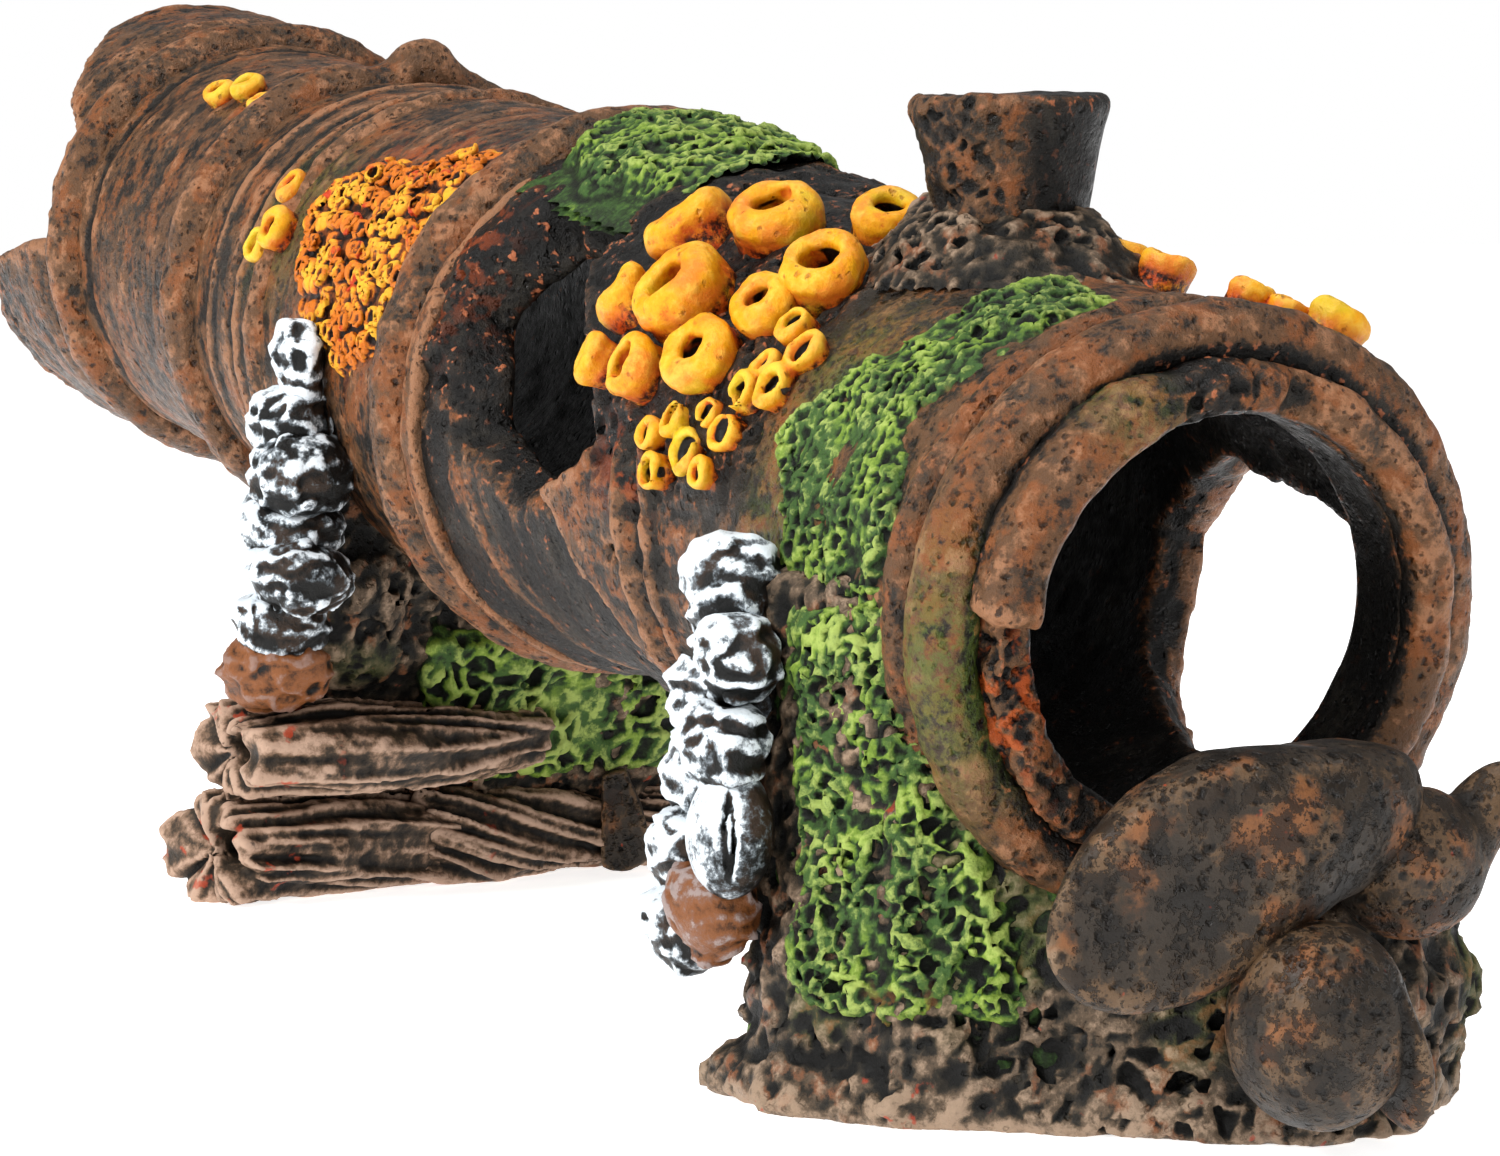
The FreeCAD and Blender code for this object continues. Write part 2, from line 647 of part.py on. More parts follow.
def leg_moss(label, levels, region, solids):
    """Moss skin on a leg: the leg swollen by the skin's thickness, inside one region."""
    skin = lofted_rock(f"{label}_swelling", swollen(levels, dim("moss_skin")))
    (low_x, low_y, low_z), (high_x, high_y, high_z) = region
    window = doc.addObject("Part::Box", f"{label}_region")
    window.Length = high_x - low_x
    window.Width = high_y - low_y
    window.Height = high_z - low_z
    window.Placement.Base = Vector(low_x, low_y, low_z)
    patch = doc.addObject("Part::Common", f"{label}_patch")
    patch.Base = skin
    patch.Tool = window
    cut_by(label, patch, solids)


def write_parts():
    """Check every object, then write one STEP file per node."""
    doc.recompute()
    for feature in doc.Objects:
        if "Invalid" in feature.State or "Error" in feature.State:
            raise RuntimeError(f"{feature.Name} failed: {feature.State}")
    os.makedirs("parts", exist_ok=True)
    for feature in nodes:
        shape = feature.Shape
        if shape.isNull() or not shape.isValid() or not shape.Solids:
            raise RuntimeError(f"{feature.Label} has no valid solid")
    for feature in nodes:
        feature.Shape.exportStep(f"parts/{feature.Label}.step")


def named(*names):
    """Document objects by name."""
    return [doc.getObject(name) for name in names]


barrel_tubes()
ring_mouldings()
patches()
trunnion()
legs_and_stones()
stone_chip(doc.getObject("driftwood_root"))
shell_pile("front_shell", FRONT_SHELLS, named("front_rock", "leg_bore_envelope"))
shell_pile("rear_shell", REAR_SHELLS, named("rear_rock", "rear_envelope", "driftwood_upper"))
large_barnacles()
small_growths()
leg_moss("front_leg_moss", FRONT_LEG, FRONT_MOSS_REGION,
         named("front_rock", "leg_bore_envelope", "mouth_envelope", "boulder_solid", "neck_ring",
               "front_shell_4_solid", "front_shell_6_solid"))
leg_moss("rear_leg_moss", REAR_LEG, REAR_MOSS_REGION,
         named("rear_rock", "rear_envelope", "driftwood_lower", "driftwood_upper", "driftwood_root"))
write_parts()
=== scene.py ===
"""Looks of the sunken cannon cave ornament: sculpted meshes and painted resin materials."""
import math

import bpy
import numpy as np
from mathutils import Matrix, Vector


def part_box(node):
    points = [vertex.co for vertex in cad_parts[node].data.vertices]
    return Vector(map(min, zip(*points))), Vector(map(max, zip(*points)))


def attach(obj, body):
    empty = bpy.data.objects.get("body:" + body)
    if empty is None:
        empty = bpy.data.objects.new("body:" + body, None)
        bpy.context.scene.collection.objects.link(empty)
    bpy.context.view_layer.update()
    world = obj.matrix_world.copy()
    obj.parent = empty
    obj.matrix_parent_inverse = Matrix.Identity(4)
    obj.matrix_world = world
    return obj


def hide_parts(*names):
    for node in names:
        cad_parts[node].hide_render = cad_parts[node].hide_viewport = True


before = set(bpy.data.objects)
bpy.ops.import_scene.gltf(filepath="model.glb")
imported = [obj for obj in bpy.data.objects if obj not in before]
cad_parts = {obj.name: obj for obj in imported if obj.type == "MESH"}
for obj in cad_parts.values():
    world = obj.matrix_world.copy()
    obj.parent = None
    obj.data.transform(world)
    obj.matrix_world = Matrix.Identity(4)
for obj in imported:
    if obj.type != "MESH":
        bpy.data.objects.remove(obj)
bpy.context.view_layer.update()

# Sculpting is done in millimetres and scaled to metres when a mesh is made.
METRES = 0.001
COARSE = 1.0


# ---------------------------------------------------------------- noise

def hash_unit(x, y, z, seed):
    """Repeatable number from 0 to 1 for each integer lattice point."""
    mixed = (x.astype(np.uint32) * np.uint32(73856093)) ^ (y.astype(np.uint32) * np.uint32(19349663))
    mixed ^= (z.astype(np.uint32) * np.uint32(83492791)) ^ np.uint32((seed * 2654435761) & 0xFFFFFFFF)
    mixed = (mixed ^ (mixed >> np.uint32(15))) * np.uint32(2246822519)
    mixed = (mixed ^ (mixed >> np.uint32(13))) * np.uint32(3266489917)
    mixed ^= mixed >> np.uint32(16)
    return (mixed & np.uint32(0xFFFFFF)).astype(np.float32) / np.float32(0xFFFFFF)


def noise(points, size, seed):
    """Smooth value noise from -1 to 1; size is the length of one wave in millimetres."""
    grid = points / np.float32(size)
    base = np.floor(grid)
    part = (grid - base).astype(np.float32)
    part = part * part * (3 - 2 * part)
    x, y, z = base.astype(np.int64).T
    fx, fy, fz = part.T
    total = np.zeros(len(points), np.float32)
    for dx in (0, 1):
        wx = fx if dx else 1 - fx
        for dy in (0, 1):
            wy = fy if dy else 1 - fy
            for dz in (0, 1):
                wz = fz if dz else 1 - fz
                total += wx * wy * wz * hash_unit(x + dx, y + dy, z + dz, seed)
    return total * 2 - 1


def fbm(points, size, octaves, seed):
    """Sum of noise octaves, each half the size and half the strength of the last."""
    total = np.zeros(len(points), np.float32)
    strength = 1.0
    for octave in range(octaves):
        total += strength * noise(points, size / 2 ** octave, seed + octave)
        strength *= 0.5
    return total / (2 - 2 ** (1 - octaves))


def cells(points, size, seed):
    """Distances to the two nearest scattered points, in cell sizes."""
    grid = points / np.float32(size)
    base = np.floor(grid - 0.5)
    x, y, z = base.astype(np.int64).T
    first = np.full(len(points), 9.0, np.float32)
    second = np.full(len(points), 9.0, np.float32)
    for dx in (0, 1):
        for dy in (0, 1):
            for dz in (0, 1):
                cx, cy, cz = x + dx, y + dy, z + dz
                ox = cx + 0.15 + 0.7 * hash_unit(cx, cy, cz, seed) - grid[:, 0]
                oy = cy + 0.15 + 0.7 * hash_unit(cx, cy, cz, seed + 1) - grid[:, 1]
                oz = cz + 0.15 + 0.7 * hash_unit(cx, cy, cz, seed + 2) - grid[:, 2]
                reach = np.sqrt(ox * ox + oy * oy + oz * oz).astype(np.float32)
                second = np.minimum(second, np.maximum(first, reach))
                first = np.minimum(first, reach)
    return first, second


def ramp(value, low, high):
    """Smooth step from 0 at low to 1 at high."""
    share = np.clip((value - low) / (high - low), 0, 1)
    return share * share * (3 - 2 * share)


def bump(value, centre, half):
    """Round bump of height 1 at the centre that ends half a width away."""
    share = np.clip(1 - np.abs((value - centre) / half), 0, 1)
    return share * share * (3 - 2 * share)


# ---------------------------------------------------------------- distances

def join(a, b, soft=0.0):
    """Union of two solids, blended over a soft width."""
    if soft <= 0:
        return np.minimum(a, b)
    share = np.clip(0.5 + 0.5 * (b - a) / soft, 0, 1)
    return b * (1 - share) + a * share - soft * share * (1 - share)


def carve(a, b, soft=0.0):
    """Solid a with solid b taken away."""
    return -join(-a, b, soft)


def both(a, b, soft=0.0):
    """Overlap of two solids."""
    return -join(-a, -b, soft)


def ellipsoid(points, centre, radii, turn=None):
    """Signed distance to an ellipsoid, nearly exact close to its surface."""
    local = points - np.array(centre, np.float32)
    if turn is not None:
        local = local @ np.array(turn, np.float32)
    radii = np.array(radii, np.float32)
    near = np.linalg.norm(local / radii, axis=1)
    slope = np.linalg.norm(local / (radii * radii), axis=1)
    return near * (near - 1) / np.maximum(slope, 1e-6)


def polygon(first, second, corners):
    """Signed distance to a closed outline in two coordinates."""
    corners = np.array(corners, np.float32)
    best = np.full(len(first), 1e9, np.float32)
    inside = np.zeros(len(first), bool)
    for start, end in zip(corners, np.roll(corners, -1, axis=0)):
        edge = end - start
        px, py = first - start[0], second - start[1]
        share = np.clip((px * edge[0] + py * edge[1]) / float(edge @ edge), 0, 1)
        best = np.minimum(best, (px - edge[0] * share) ** 2 + (py - edge[1] * share) ** 2)
        crosses = (start[1] > second) != (end[1] > second)
        if edge[1] != 0:
            inside ^= crosses & (first < start[0] + (second - start[1]) * edge[0] / edge[1])
    return np.where(inside, -1, 1) * np.sqrt(best)


def axis_turn(axis, degrees):
    """Rotation matrix about a world axis, columns are the turned axes."""
    return np.array(Matrix.Rotation(math.radians(degrees), 3, axis))


# ---------------------------------------------------------------- barrel frame

def centre_of(node):
    """Middle of a CAD node's box, in millimetres."""
    low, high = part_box(node)
    return (np.array(low) + np.array(high)) / 2 / METRES


MOUTH = centre_of("muzzle_ring")
BACKWARDS = centre_of("second_hoop") - MOUTH
HOOP_STATION = float(np.linalg.norm(BACKWARDS))
BACKWARDS = BACKWARDS / HOOP_STATION
NEAR_SIDE = np.array([0.0, -1.0, 0.0])
TOPWARDS = np.cross(BACKWARDS, NEAR_SIDE)
BARREL_AXES = np.array([BACKWARDS, NEAR_SIDE, TOPWARDS], np.float32)


def barrel(points):
    """Station behind the muzzle ring, angle from the top towards the near side, radius."""
    local = (points - MOUTH.astype(np.float32)) @ BARREL_AXES.T
    radius = np.hypot(local[:, 1], local[:, 2])
    angle = np.degrees(np.arctan2(local[:, 1], local[:, 2]))
    return local[:, 0], angle, radius


def on_barrel(station, angle, radius):
    """World point, in millimetres, from barrel coordinates."""
    turn = math.radians(angle)
    local = np.array([station, radius * math.sin(turn), radius * math.cos(turn)])
    return MOUTH + local @ BARREL_AXES


def around(angle, knots):
    """Value that changes round the barrel through (angle, value) knots."""
    angles = [knot[0] for knot in knots]
    values = [knot[1] for knot in knots]
    return np.interp(angle, angles, values).astype(np.float32)


def front_wall(station):
    """Plain outer radius of the front half."""
    return np.interp(station, [4, 92], [25.4, 28.6]).astype(np.float32)


def rear_wall(station):
    """Plain outer radius of the rear half."""
    stations = [117, 150, 190, 236, 247, 253, 279]
    return np.interp(station, stations, [28.4, 27.2, 26.0, 25.5, 25.8, 28.0, 28.3]).astype(np.float32)


# ---------------------------------------------------------------- meshing

def net(field, low, step):
    """Surface net of a distance grid: vertices in millimetres and outward quads."""
    cells_shape = np.array(field.shape) - 1
    inside = field < 0
    corner_ids, corner_places, quads = [], [], []
    for axis in range(3):
        lower = [slice(None)] * 3
        upper = [slice(None)] * 3
        lower[axis] = slice(0, -1)
        upper[axis] = slice(1, None)
        a, b = field[tuple(lower)], field[tuple(upper)]
        crossing = np.argwhere(inside[tuple(lower)] != inside[tuple(upper)])
        one, two = [other for other in range(3) if other != axis]
        kept = (crossing[:, one] > 0) & (crossing[:, one] < field.shape[one] - 1)
        kept &= (crossing[:, two] > 0) & (crossing[:, two] < field.shape[two] - 1)
        crossing = crossing[kept]
        start = a[tuple(crossing.T)]
        end = b[tuple(crossing.T)]
        places = crossing.astype(np.float32)
        places[:, axis] += start / (start - end)
        ring = []
        for shift_one, shift_two in ((0, 0), (-1, 0), (-1, -1), (0, -1)):
            cell = crossing.copy()
            cell[:, one] += shift_one
            cell[:, two] += shift_two
            ids = np.ravel_multi_index(cell.T, cells_shape)
            ring.append(ids)
            corner_ids.append(ids)
            corner_places.append(places)
        quad = np.stack(ring, axis=1)
        flip = (start < 0) == (axis == 1)
        quad[flip] = quad[flip][:, ::-1]
        quads.append(quad)
    ids = np.concatenate(corner_ids)
    places = np.concatenate(corner_places)
    unique, index, count = np.unique(ids, return_inverse=True, return_counts=True)
    vertices = np.stack([np.bincount(index, places[:, k]) / count for k in range(3)], axis=1)
    faces = np.searchsorted(unique, np.concatenate(quads))
    return (vertices * step + low).astype(np.float32), faces


def vertex_normals(vertices, faces):
    """Area-weighted vertex normals of a quad mesh."""
    corners = vertices[faces]
    across = np.cross(corners[:, 2] - corners[:, 0], corners[:, 3] - corners[:, 1])
    normals = np.zeros_like(vertices)
    for k in range(3):
        for corner in range(4):
            normals[:, k] += np.bincount(faces[:, corner], across[:, k], len(vertices))
    return normals / np.maximum(np.linalg.norm(normals, axis=1, keepdims=True), 1e-9)


def relief(vertices, faces, normals, rounds):
    """How far each vertex stands out of its smoothed surroundings, in millimetres."""
    edges = np.concatenate([faces[:, [0, 1]], faces[:, [1, 2]], faces[:, [2, 3]], faces[:, [3, 0]]])
    starts = np.concatenate([edges[:, 0], edges[:, 1]])
    ends = np.concatenate([edges[:, 1], edges[:, 0]])
    count = np.maximum(np.bincount(starts, minlength=len(vertices)), 1)
    smooth = vertices.astype(np.float64)
    for _ in range(rounds):
        smooth = np.stack([np.bincount(starts, smooth[ends, k], len(vertices)) / count
                           for k in range(3)], axis=1)
    return ((vertices - smooth) * normals).sum(axis=1)


def make_object(name, vertices, faces, attributes):
    """Mesh object from millimetre vertices and quads, with one float attribute per mask."""
    mesh = bpy.data.meshes.new(name)
    mesh.vertices.add(len(vertices))
    mesh.vertices.foreach_set("co", (vertices * METRES).astype(np.float32).ravel())
    mesh.loops.add(faces.size)
    mesh.loops.foreach_set("vertex_index", faces.astype(np.int32).ravel())
    mesh.polygons.add(len(faces))
    sides = faces.shape[1]
    mesh.polygons.foreach_set("loop_start", np.arange(0, faces.size, sides, dtype=np.int32))
    mesh.update(calc_edges=True)
    mesh.validate()
    mesh.polygons.foreach_set("use_smooth", np.ones(len(mesh.polygons), bool))
    for label, values in attributes.items():
        layer = mesh.attributes.new(label, "FLOAT", "POINT")
        layer.data.foreach_set("value", np.ascontiguousarray(values, np.float32))
    piece = bpy.data.objects.new(name, mesh)
    bpy.context.collection.objects.link(piece)
    return piece


def settle(piece, nodes, material):
    """Give a piece its material and its place in the frame."""
    piece.data.materials.append(material)
    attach(piece, "root")
    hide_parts(*nodes)
    return piece


def sculpt(name, nodes, material, solid, low, high, step, masks=None, detail_rounds=6):
    """Carve one piece out of a distance function.

    solid(points) gives the signed distance; masks(points, normals) gives extra vertex masks.
    """
    step = step * COARSE
    low = np.array(low, np.float32) - 2 * step
    high = np.array(high, np.float32) + 2 * step
    counts = np.ceil((high - low) / step).astype(int) + 1
    # A coarse pass finds the blocks of the grid that the surface crosses.
    block = 6
    coarse_counts = -(-counts // block) + 1
    spots = np.stack(np.meshgrid(*[np.arange(n) for n in coarse_counts], indexing="ij"), axis=-1)
    spots = spots.reshape(-1, 3)
    coarse = solid((low + (spots + 0.0) * block * step).astype(np.float32))
    reach = block * step * 1.9 + 2.0
    near = np.abs(coarse) < reach
    field = np.empty(counts, np.float32)
    coarse_grid = coarse.reshape(coarse_counts)
    lattice = [np.minimum(np.arange(n) // block, c - 1) for n, c in zip(counts, coarse_counts)]
    field[:] = coarse_grid[np.ix_(*lattice)]
    wanted = np.zeros(coarse_counts, bool)
    near_grid = near.reshape(coarse_counts)
    for corner in np.ndindex(2, 2, 2):
        shifted = near_grid[corner[0]:, corner[1]:, corner[2]:]
        wanted[:shifted.shape[0], :shifted.shape[1], :shifted.shape[2]] |= shifted
    chosen = np.argwhere(wanted[np.ix_(*lattice)])
    for part in np.array_split(chosen, max(1, len(chosen) // 400000)):
        field[tuple(part.T)] = solid((low + part * step).astype(np.float32))
    vertices, faces = net(field, low, step)
    normals = vertex_normals(vertices, faces)
    offset = np.clip(solid(vertices), -0.5 * step, 0.5 * step)
    vertices = vertices - normals * offset[:, None]
    normals = vertex_normals(vertices, faces)
    raised = relief(vertices, faces, normals, detail_rounds)
    broad = relief(vertices, faces, normals, detail_rounds * 5)
    attributes = {"raised": raised, "broad": broad}
    if masks:
        attributes.update(masks(vertices, normals))
    piece = make_object(name, vertices, faces, attributes)
    print(f"{name}: {len(faces)} quads")
    return settle(piece, nodes, material)


# ---------------------------------------------------------------- materials

def paint(red, green, blue):
    """Linear colour from ordinary 0 to 255 paint values."""
    def linear(value):
        value = value / 255
        return value / 12.92 if value <= 0.04045 else ((value + 0.055) / 1.055) ** 2.4
    return (linear(red), linear(green), linear(blue), 1.0)


class Paintwork:
    """Node material of brushed paint layers over a cast, pitted resin surface."""

    def __init__(self, name, base, roughness=0.55, specular=0.25):
        self.material = bpy.data.materials.new(name)
        self.material.use_nodes = True
        self.tree = self.material.node_tree
        self.shader = self.tree.nodes["Principled BSDF"]
        self.shader.inputs["Roughness"].default_value = roughness
        self.shader.inputs["Specular IOR Level"].default_value = specular
        self.place = self.node("ShaderNodeTexCoord").outputs["Object"]
        self.colour = None
        self.base = base
        self.heights = []

    def node(self, kind, **settings):
        """Add a node and set its properties."""
        made = self.tree.nodes.new(kind)
        for key, value in settings.items():
            setattr(made, key, value)
        return made

    def link(self, start, end):
        """Join an output to an input."""
        self.tree.links.new(start, end)

    def mask(self, label):
        """Vertex mask by name."""
        return self.node("ShaderNodeAttribute", attribute_name=label).outputs["Fac"]

    def calculate(self, operation, first, second, clamp=False):
        """Math node on two sockets or numbers."""
        made = self.node("ShaderNodeMath", operation=operation, use_clamp=clamp)
        for index, value in enumerate((first, second)):
            if isinstance(value, (int, float)):
                made.inputs[index].default_value = value
            else:
                self.link(value, made.inputs[index])
        return made.outputs[0]

    def rescale(self, value, low, high, to_low=0.0, to_high=1.0):
        """Smooth, clamped change of range."""
        made = self.node("ShaderNodeMapRange", interpolation_type="SMOOTHSTEP")
        self.link(value, made.inputs["Value"])
        made.inputs["From Min"].default_value = low
        made.inputs["From Max"].default_value = high
        made.inputs["To Min"].default_value = to_low
        made.inputs["To Max"].default_value = to_high
        return made.outputs["Result"]

    def stretched(self, stretch, turn=(0, 0, 0)):
        """Object place stretched along its axes, for brushed or grained patterns."""
        made = self.node("ShaderNodeMapping")
        self.link(self.place, made.inputs["Vector"])
        made.inputs["Scale"].default_value = stretch
        made.inputs["Rotation"].default_value = [math.radians(value) for value in turn]
        return made.outputs["Vector"]

    def clouds(self, size, detail=4.0, rough=0.6, place=None):
        """Noise from about 0 to 1 with waves of the given size in millimetres."""
        made = self.node("ShaderNodeTexNoise")
        self.link(place or self.place, made.inputs["Vector"])
        made.inputs["Scale"].default_value = 1 / (size * METRES)
        made.inputs["Detail"].default_value = detail
        made.inputs["Roughness"].default_value = rough
        return made.outputs["Fac"]

    def pits(self, size, share):
        """Small ragged casting pits: 1 inside a pit; share is how many cells hold one."""
        push = self.node("ShaderNodeTexNoise")
        self.link(self.place, push.inputs["Vector"])
        push.inputs["Scale"].default_value = 1.6 / (size * METRES)
        push.inputs["Detail"].default_value = 2.0
        reach = self.node("ShaderNodeVectorMath", operation="MULTIPLY_ADD")
        self.link(push.outputs["Color"], reach.inputs[0])
        reach.inputs[1].default_value = (size * METRES * 0.9,) * 3
        self.link(self.place, reach.inputs[2])
        made = self.node("ShaderNodeTexVoronoi")
        self.link(reach.outputs["Vector"], made.inputs["Vector"])
        made.inputs["Scale"].default_value = 1 / (size * METRES)
        ragged = self.rescale(made.outputs["Distance"], 0.10, 0.42, 1.0, 0.0)
        split = self.node("ShaderNodeSeparateColor")
        self.link(made.outputs["Color"], split.inputs["Color"])
        chosen = self.rescale(split.outputs["Red"], share - 0.02, share + 0.02, 1.0, 0.0)
        return self.calculate("MULTIPLY", ragged, chosen)

    def coat(self, colour, amount):
        """Brush a colour over the paint so far, by an amount from 0 to 1."""
        made = self.node("ShaderNodeMix", data_type="RGBA")
        self.link(amount, made.inputs["Factor"])
        if self.colour is None:
            made.inputs["A"].default_value = self.base
        else:
            self.link(self.colour, made.inputs["A"])
        made.inputs["B"].default_value = colour
        self.colour = made.outputs["Result"]

    def height(self, value, depth):
        """Add fine relief, in millimetres of depth."""
        self.heights.append(self.calculate("MULTIPLY", value, depth))

    def finish(self, roughness_range=None, shine_mask=None):
        """Connect colour, relief and, if given, uneven roughness."""
        self.link(self.colour, self.shader.inputs["Base Color"])
        if self.heights:
            total = self.heights[0]
            for extra in self.heights[1:]:
                total = self.calculate("ADD", total, extra)
            relief_node = self.node("ShaderNodeBump")
            relief_node.inputs["Strength"].default_value = 1.0
            relief_node.inputs["Distance"].default_value = METRES
            self.link(total, relief_node.inputs["Height"])
            self.link(relief_node.outputs["Normal"], self.shader.inputs["Normal"])
        if roughness_range:
            low, high = roughness_range
            self.link(self.rescale(shine_mask, 0.3, 0.7, low, high), self.shader.inputs["Roughness"])
        return self.material


def brushed(work, raised_span, grain_size, patch_size, coverage):
    """Dry-brush amount: high on raised places, broken up by grain and larger patches."""
    raised = work.rescale(work.mask("raised"), -raised_span, raised_span, -0.5, 0.5)
    grain = work.clouds(grain_size, 5.0, 0.7)
    patch = work.clouds(patch_size, 3.0, 0.5)
    total = work.calculate("ADD", raised, work.calculate("MULTIPLY", grain, 1.1))
    total = work.calculate("ADD", total, work.calculate("MULTIPLY", patch, 0.9))
    return work.calculate("ADD", total, coverage - 1.0), grain


def cannon_paint():
    """Charcoal resin with rust-brown, olive and pale dry-brushing and many small pits."""
    work = Paintwork("cannon_paint", paint(9, 7, 5), 0.5, 0.25)
    amount, grain = brushed(work, 0.32, 0.9, 7.0, 0.13)
    # The rough mask holds crusty ground and also painted shade: inside the bores, at the feet of the rings,
    # where the lip tucks under the muzzle ring, and on the stub's far side. Both take the dry-brush away, so
    # they paint darker.
    rough = work.mask("rough")
    amount = work.calculate("SUBTRACT", amount, work.calculate("MULTIPLY", rough, 0.56))
    work.coat(paint(40, 32, 25), work.rescale(amount, -0.30, 0.04))
    work.coat(paint(98, 68, 44), work.rescale(amount, 0.0, 0.26))
    rust_amount = work.calculate("MULTIPLY", work.rescale(work.clouds(5.0, 4.0, 0.65), 0.48, 0.60),
                                 work.rescale(amount, -0.05, 0.30))
    work.coat(paint(134, 76, 36), work.calculate("MULTIPLY", rust_amount, 0.8))
    slate_amount = work.calculate("MULTIPLY", work.rescale(work.clouds(11.0, 4.0, 0.6), 0.50, 0.60),
                                  work.rescale(grain, 0.60, 0.42))
    work.coat(paint(50, 45, 38), work.calculate("MULTIPLY", slate_amount, 0.75))
    work.coat(paint(170, 120, 86), work.calculate("MULTIPLY", work.rescale(amount, 0.34, 0.66), 0.7))
    fleck_amount = work.calculate("MULTIPLY", work.rescale(work.clouds(0.9, 2.0, 0.5), 0.60, 0.68), rough)
    fleck_amount = work.calculate("MULTIPLY", fleck_amount, work.rescale(work.mask("raised"), -0.02, 0.2))
    work.coat(paint(176, 102, 66), work.calculate("MULTIPLY", fleck_amount, 0.85))
    pit = work.pits(1.3, 0.30)
    tiny = work.pits(0.7, 0.30)
    work.coat(paint(10, 8, 6), work.calculate("MULTIPLY", pit, 0.85))
    work.coat(paint(12, 9, 7), work.calculate("MULTIPLY", tiny, 0.75))
    green = work.calculate("MULTIPLY", work.mask("green"), work.rescale(grain, 0.38, 0.58))
    work.coat(paint(84, 102, 42), work.calculate("MULTIPLY", green, 0.7))
    flecks = work.rescale(work.clouds(2.4, 3.0, 0.6), 0.50, 0.60)
    orange = work.calculate("MULTIPLY", work.mask("orange"), flecks)
    work.coat(paint(190, 84, 26), work.calculate("MULTIPLY", orange, 0.85))
    work.height(grain, 0.42)
    work.height(work.clouds(0.40, 3.0, 0.7), 0.22)
    work.height(pit, -0.40)
    work.height(tiny, -0.22)
    return work.finish((0.28, 0.52), work.clouds(1.2, 3.0, 0.6))


def rock_paint():
    """Black crusty rock, brushed tan, grey and pink on its highest grains."""
    work = Paintwork("rock_paint", paint(11, 10, 8), 0.6, 0.25)
    amount, grain = brushed(work, 0.34, 0.8, 7.0, -0.10)
    amount = work.calculate("ADD", amount, work.calculate("MULTIPLY", work.mask("edge"), 0.16))
    work.coat(paint(40, 35, 27), work.rescale(amount, -0.35, 0.05))
    work.coat(paint(92, 76, 60), work.rescale(amount, 0.0, 0.34))
    rust = work.calculate("MULTIPLY", work.rescale(work.clouds(4.0, 4.0, 0.6), 0.52, 0.64),
                          work.rescale(amount, -0.05, 0.3))
    work.coat(paint(134, 80, 48), work.calculate("MULTIPLY", rust, 0.8))
    work.coat(paint(172, 146, 122), work.calculate("MULTIPLY", work.rescale(amount, 0.28, 0.62), 0.75))
    red = work.calculate("MULTIPLY", work.rescale(work.clouds(2.6, 3.0, 0.6), 0.66, 0.72),
                         work.rescale(amount, -0.1, 0.3))
    work.coat(paint(170, 52, 26), work.calculate("MULTIPLY", red, 0.7))
    green = work.calculate("MULTIPLY", work.mask("green"), work.rescale(amount, -0.3, 0.2))
    work.coat(paint(88, 112, 40), work.calculate("MULTIPLY", green, 0.7))
    work.height(grain, 0.35)
    work.height(work.pits(1.0, 0.35), -0.3)
    return work.finish((0.42, 0.7), work.clouds(3.0, 2.0, 0.5))


def boulder_paint():
    """Smooth slate-brown stone with tan patches and scattered sharp pits."""
    work = Paintwork("boulder_paint", paint(26, 22, 18), 0.45, 0.25)
    amount, grain = brushed(work, 0.30, 1.3, 9.0, 0.06)
    work.coat(paint(50, 42, 34), work.rescale(amount, -0.34, 0.06))
    work.coat(paint(96, 74, 53), work.rescale(amount, 0.10, 0.34))
    rust = work.calculate("MULTIPLY", work.rescale(work.clouds(7.0, 4.0, 0.6), 0.52, 0.62),
                          work.rescale(amount, -0.1, 0.25))
    work.coat(paint(134, 84, 48), work.calculate("MULTIPLY", rust, 0.75))
    work.coat(paint(160, 134, 108), work.calculate("MULTIPLY", work.rescale(amount, 0.34, 0.72), 0.55))
    dark = work.rescale(work.clouds(2.6, 5.0, 0.75), 0.49, 0.55)
    work.coat(paint(22, 19, 16), work.calculate("MULTIPLY", dark, 0.85))
    red = work.rescale(work.clouds(3.0, 3.0, 0.6), 0.69, 0.74)
    work.coat(paint(176, 62, 30), work.calculate("MULTIPLY", red, 0.8))
    pit = work.pits(1.5, 0.50)
    tiny = work.pits(0.8, 0.40)
    work.coat(paint(14, 11, 9), work.calculate("MULTIPLY", pit, 0.9))
    work.coat(paint(16, 12, 10), work.calculate("MULTIPLY", tiny, 0.75))
    work.height(grain, 0.22)
    work.height(pit, -0.4)
    work.height(tiny, -0.2)
    work.height(dark, -0.15)
    return work.finish((0.34, 0.55), work.clouds(5.0, 2.0, 0.5))


def driftwood_paint():
    """Weathered wood: black grooves, pink-tan brushed grain and a few red stains."""
    work = Paintwork("driftwood_paint", paint(15, 12, 9), 0.6, 0.25)
    amount, grain = brushed(work, 0.34, 0.9, 9.0, 0.10)
    work.coat(paint(58, 47, 36), work.rescale(amount, -0.35, 0.05))
    work.coat(paint(124, 98, 78), work.rescale(amount, 0.0, 0.32))
    work.coat(paint(192, 160, 138), work.calculate("MULTIPLY", work.rescale(amount, 0.22, 0.58), 0.85))
    red = work.calculate("MULTIPLY", work.rescale(work.clouds(3.2, 3.0, 0.6), 0.62, 0.69), work.mask("stain"))
    work.coat(paint(178, 66, 38), work.calculate("MULTIPLY", red, 0.8))
    work.coat(paint(12, 10, 8), work.calculate("MULTIPLY", work.pits(1.2, 0.2), 0.7))
    work.height(grain, 0.3)
    return work.finish((0.45, 0.72), work.clouds(4.0, 2.0, 0.5))


